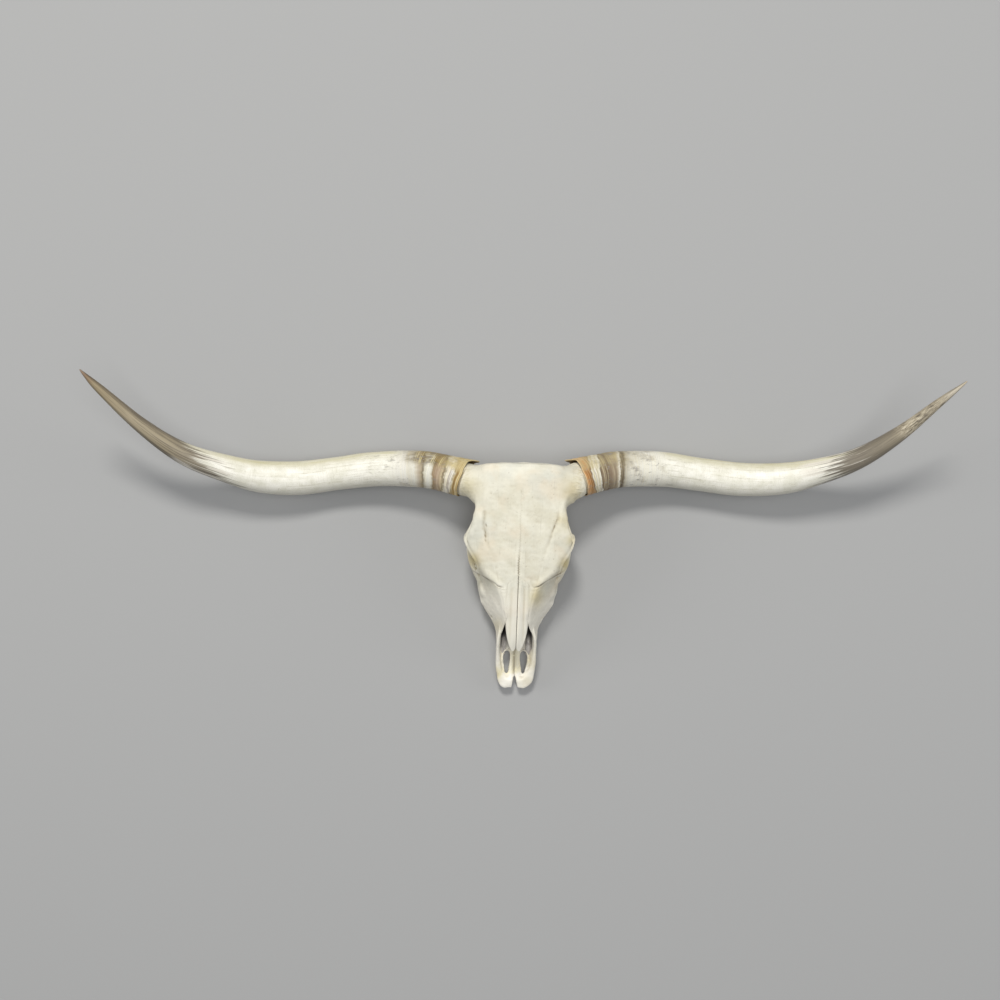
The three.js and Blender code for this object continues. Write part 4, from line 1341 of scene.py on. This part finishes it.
def paintBone(obj):
    points, normals = readPoints(obj), readNormals(obj)
    ahead = -points[:, 1]
    sunk = creviceOf(obj) * ease(fromSutures(points), 1.5, 7)
    inNose = noseMask(points)
    # painted light on the low palate bars, which the nasal bones shade
    bars = bell(points[:, 0] + 1.5, 13) * ease(ahead, 262, 276)
    # painted light: the muzzle's sloping sides lightened, less where they face straight up
    faceUp = 1 - 0.45 * ease(normals[:, 2], 0.75, 0.95)
    masks = {
        # dark seams, and painted shade in grooves, pits, holes, the cleft and before the face crease
        "seamsAndShade": reliefOf(points, normals)[1],
        # painted shade where the skin sinks below its neighbourhood
        "creviceShade": np.clip(sunk / 0.9, 0, 1),
        # painted highlight on ridges
        "ridgeHighlight": np.clip(-sunk / 0.9 - 0.1, 0, 1),
        "rough": rootOf(points),
        "hollow": hollowShadeMask(points, normals),
        "nose": inNose,
        # painted shade in the far part of the nose cavity
        "deep": inNose * (1 - ease(ahead, 216, 246)),
        # painted shade on faces turned down, away from the lights
        "undersideShade": ease(-normals[:, 2], 0.0, 0.7),
        # painted light: the front of the snout and the palate bars lightened
        "front": np.maximum(bars, ease(ahead, 266, 322)),
        "muzzleLight": ease(ahead, 104, 170) * ease(normals[:, 2], -0.3, 0.1) * faceUp,
        "stain": stainMask(points),
    }
    for name, values in masks.items():
        writeMask(obj, name, values)


boneGrain = [   # name, how the place is squeezed and moved, noise scale, detail, roughness, distortion
    ("Mottle", None, 17, 5, 0.6),
    ("Patches", None, 9, 3, 0.5, 0.6),
    ("Blush", ((1, 1, 1), (0.4, 0.2, 0.7)), 13, 3, 0.55, 0.5),
    ("Fine", None, 120, 6, 0.65),
    ("Streaks", ((230, 16, 90),), 1.0, 4.0, 0.6, 0.3),
    ("Ribs", ((26, 300, 240),), 1.0, 3.0, 0.55, 0.3),
]


def boneGroup():
    # dry bone: slow mottle, fine grain, pores, and streaks along the bone
    group, start, end = newGroup("dryBone", [("Vector", "Vector", None)],
                                 [(row[0], "Float") for row in boneGrain] + [("Pores", "Float")])
    spot = start.outputs["Vector"]
    cells = put(group, "TexVoronoi", {"Vector": spot, "Scale": 620.0}, feature="F1").outputs["Distance"]
    gathered = noise(group, spot, 38, 2, 0.5)
    pores = product(group, stretch(group, cells, 0.30, 0.12), stretch(group, gathered, 0.45, 0.62))
    group.links.new(pores, end.inputs["Pores"])
    for label, place, *grain in boneGrain:
        moved = squeezed(group, spot, *place) if place else spot
        group.links.new(noise(group, moved, *grain), end.inputs[label])
    return group


boneLooks = {
    "bone": {"light": "#e6e2d0", "mid": "#dad5c0", "grey": "#c3beac", "cool": "#d1d1c5", "warm": "#e0d5be",
             "rough": (0.5, 0.74)},
    "paleBone": {"light": "#e8e3d1", "mid": "#dcd7c2", "grey": "#c7c1ad", "cool": "#d6d3c5",
                 "warm": "#e2d8bc", "rough": (0.46, 0.7)},
}


def boneColour(tree, grain, look):
    # mottled bone, then one layer of colour after another over it, among them painted shade and painted
    # light: how much, and which
    mottle, fine, blush = grain["Mottle"], grain["Fine"], grain["Blush"]
    colour = blendColour(tree, stretch(tree, mottle, 0.36, 0.66), tone(look["light"]), tone(look["mid"]))

    def masked(name, amount):
        return product(tree, attribute(tree, name), amount)

    snout = blendColour(tree, stretch(tree, blush, 0.44, 0.6), tone("#fbf7ec"), tone("#f7eec4"))
    layers = [
        (stretch(tree, grain["Patches"], 0.45, 0.7, 0, 0.6), tone(look["cool"])),
        (stretch(tree, blush, 0.48, 0.68, 0, 0.75), tone(look["warm"])),
        (stretch(tree, fine, 0.52, 0.78, 0, 0.35), tone(look["grey"])),
        (stretch(tree, grain["Streaks"], 0.54, 0.74, 0, 0.3), tone(look["grey"])),
        # painted highlight on ridges
        (masked("ridgeHighlight", 0.5), tone("#f3eede")),
        # painted light on the muzzle's sloping sides
        (masked("muzzleLight", 0.72), tone("#f9f4e6")),
        # painted light: paler snout colour, with its blush, over the shaded front of the snout and the palate
        # bars
        (masked("front", stretch(tree, mottle, 0.3, 0.6, 0.85, 0.4)), snout),
        (masked("stain", stretch(tree, mottle, 0.25, 0.6, 0.4, 0.95)), tone("#cdbd88")),
        (masked("rough", stretch(tree, grain["Ribs"], 0.48, 0.66, 0, 0.6)), tone("#c2b68f")),
        # painted shade in crevices
        (masked("creviceShade", 0.55), tone("#a39577")),
        # painted shade on the undersides
        (masked("undersideShade", 0.45), tone("#b5a888")),
        # painted shade in the hollows
        (masked("hollow", 0.75), tone("#84745a")),
        (masked("nose", 0.8), tone("#c4bfb9")),
        # painted shade, nearly black, deep in the nose
        (masked("deep", 0.95), tone("#2c2521")),
        (product(tree, grain["Pores"], 0.3), tone("#a3906e")),
        # dark seams, and painted shade in grooves, pits, holes and the cleft, with a painted shadow before
        # the face crease
        (masked("seamsAndShade", stretch(tree, fine, 0.3, 0.6, 0.7, 1.0)), tone("#6b5d45")),
    ]
    for amount, shade in layers:
        colour = blendColour(tree, amount, colour, shade)
    enamel = blendColour(tree, stretch(tree, mottle, 0.4, 0.62), tone("#eee6d2"), tone("#d6c7a2"))
    enamel = blendColour(tree, attribute(tree, "bite"), enamel, tone("#5c4a31"))
    return blendColour(tree, attribute(tree, "enamel"), colour, enamel)


def boneMaterial(name, look, dry):
    material, tree, body = newMaterial(name)
    grain = useGroup(tree, dry, {"Vector": put(tree, "TexCoord").outputs["Object"]})
    tree.links.new(boneColour(tree, grain, look), body.inputs["Base Color"])
    rough = stretch(tree, grain["Fine"], 0.35, 0.7, *look["rough"])
    rough = product(tree, rough, stretch(tree, attribute(tree, "enamel"), 0, 1, 1.0, 0.5))
    tree.links.new(rough, body.inputs["Roughness"])
    height = calc(tree, "SUBTRACT", grain["Fine"], product(tree, grain["Pores"], 0.8))
    height = calc(tree, "ADD", height, product(tree, grain["Streaks"], 0.7))
    height = calc(tree, "ADD", height, product(tree, grain["Ribs"], 2.2, attribute(tree, "rough")))
    bump = put(tree, "Bump", {"Height": height, "Strength": 0.5, "Distance": 0.0006})
    tree.links.new(bump.outputs["Normal"], body.inputs["Normal"])
    body.inputs["Specular IOR Level"].default_value = 0.32
    return material


dryBone = boneGroup()
boneStuff = boneMaterial("weatheredBone", boneLooks["bone"], dryBone)
paleBoneStuff = boneMaterial("paleSnoutBone", boneLooks["paleBone"], dryBone)

for node, piece in bonePieces.items():
    piece = keepLargest(piece)
    if len(piece.data.polygons) > head["mostFaces"] / 2:
        useModifier(piece, "TRIANGULATE")
        useModifier(piece, "DECIMATE", ratio=min(1.0, head["mostFaces"] / len(piece.data.polygons)))
    paintBone(piece)
    if node.startswith("maxilla"):
        side = 1 if node.endswith("left") else -1
        piece = joinUp(piece.name, [piece] + [toothSkin(side, *row) for row in teeth["row"]])
    writePoints(piece, readPoints(piece) + skullPlace)
    piece.data.materials.clear()
    pale = node.startswith("premaxilla")
    piece.data.materials.append(paleBoneStuff if pale else boneStuff)
    pick(piece)
    bpy.ops.object.shade_smooth_by_angle(angle=math.radians(38))
    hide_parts(node)
    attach(piece, "root")
    print(piece.name, len(piece.data.polygons), "faces")


# Inside the nose: a scrolled bone on each side and the low middle plate.

scroll = {
    "stations": [(18, -150, 80, 5, 14), (22, -190, 72, 5, 15), (25, -222, 61, 5, 13), (27, -242, 52, 5.2, 10),
                 (27.6, -256, 45, 5.6, 7.5), (28, -270, 40, 6, 5), (28, -282, 36, 5, 3)],
    "plate": [(0, -130, 62, 1.4, 12), (-0.5, -200, 50, 1.4, 12), (-1, -240, 43, 1.6, 8),
              (-1.6, -262, 38, 1.6, 4)],
}


def noseMaterial(dry):
    material, tree, body = newMaterial("scrollBone")
    grain = useGroup(tree, dry, {"Vector": put(tree, "TexCoord").outputs["Object"]})
    colour = blendColour(tree, stretch(tree, grain["Streaks"], 0.35, 0.65), tone("#d2cdc6"), tone("#aaa49e"))
    colour = blendColour(tree, stretch(tree, grain["Fine"], 0.45, 0.7, 0, 0.5), colour, tone("#837c76"))
    colour = blendColour(tree, attribute(tree, "shade"), colour, tone("#1d1915"))
    tree.links.new(colour, body.inputs["Base Color"])
    tree.links.new(stretch(tree, grain["Fine"], 0.35, 0.7, 0.6, 0.85), body.inputs["Roughness"])
    bump = put(tree, "Bump", {"Height": grain["Streaks"], "Strength": 0.6, "Distance": 0.0008})
    tree.links.new(bump.outputs["Normal"], body.inputs["Normal"])
    return material


noseStuff = noseMaterial(dryBone)
noseBars = [("scrollBoneLeft", [(x + 1.4, *rest) for x, *rest in scroll["stations"]]),
            ("scrollBoneRight", onSide(-1, scroll["stations"])), ("nosePlate", scroll["plate"])]
for name, stations in noseBars:
    piece = bar(name, stations, 90, 48)
    points = readPoints(piece)
    points += readNormals(piece) * (ripple(points * [1, 0.18, 1], 6, 12) * 0.5)[:, None]
    writePoints(piece, points + skullPlace)
    writeMask(piece, "shade", 1 - ease(-points[:, 1], 230, 254))
    piece.data.materials.append(noseStuff)
    pick(piece)
    bpy.ops.object.shade_smooth()
    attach(piece, "root")
print("skull ready")
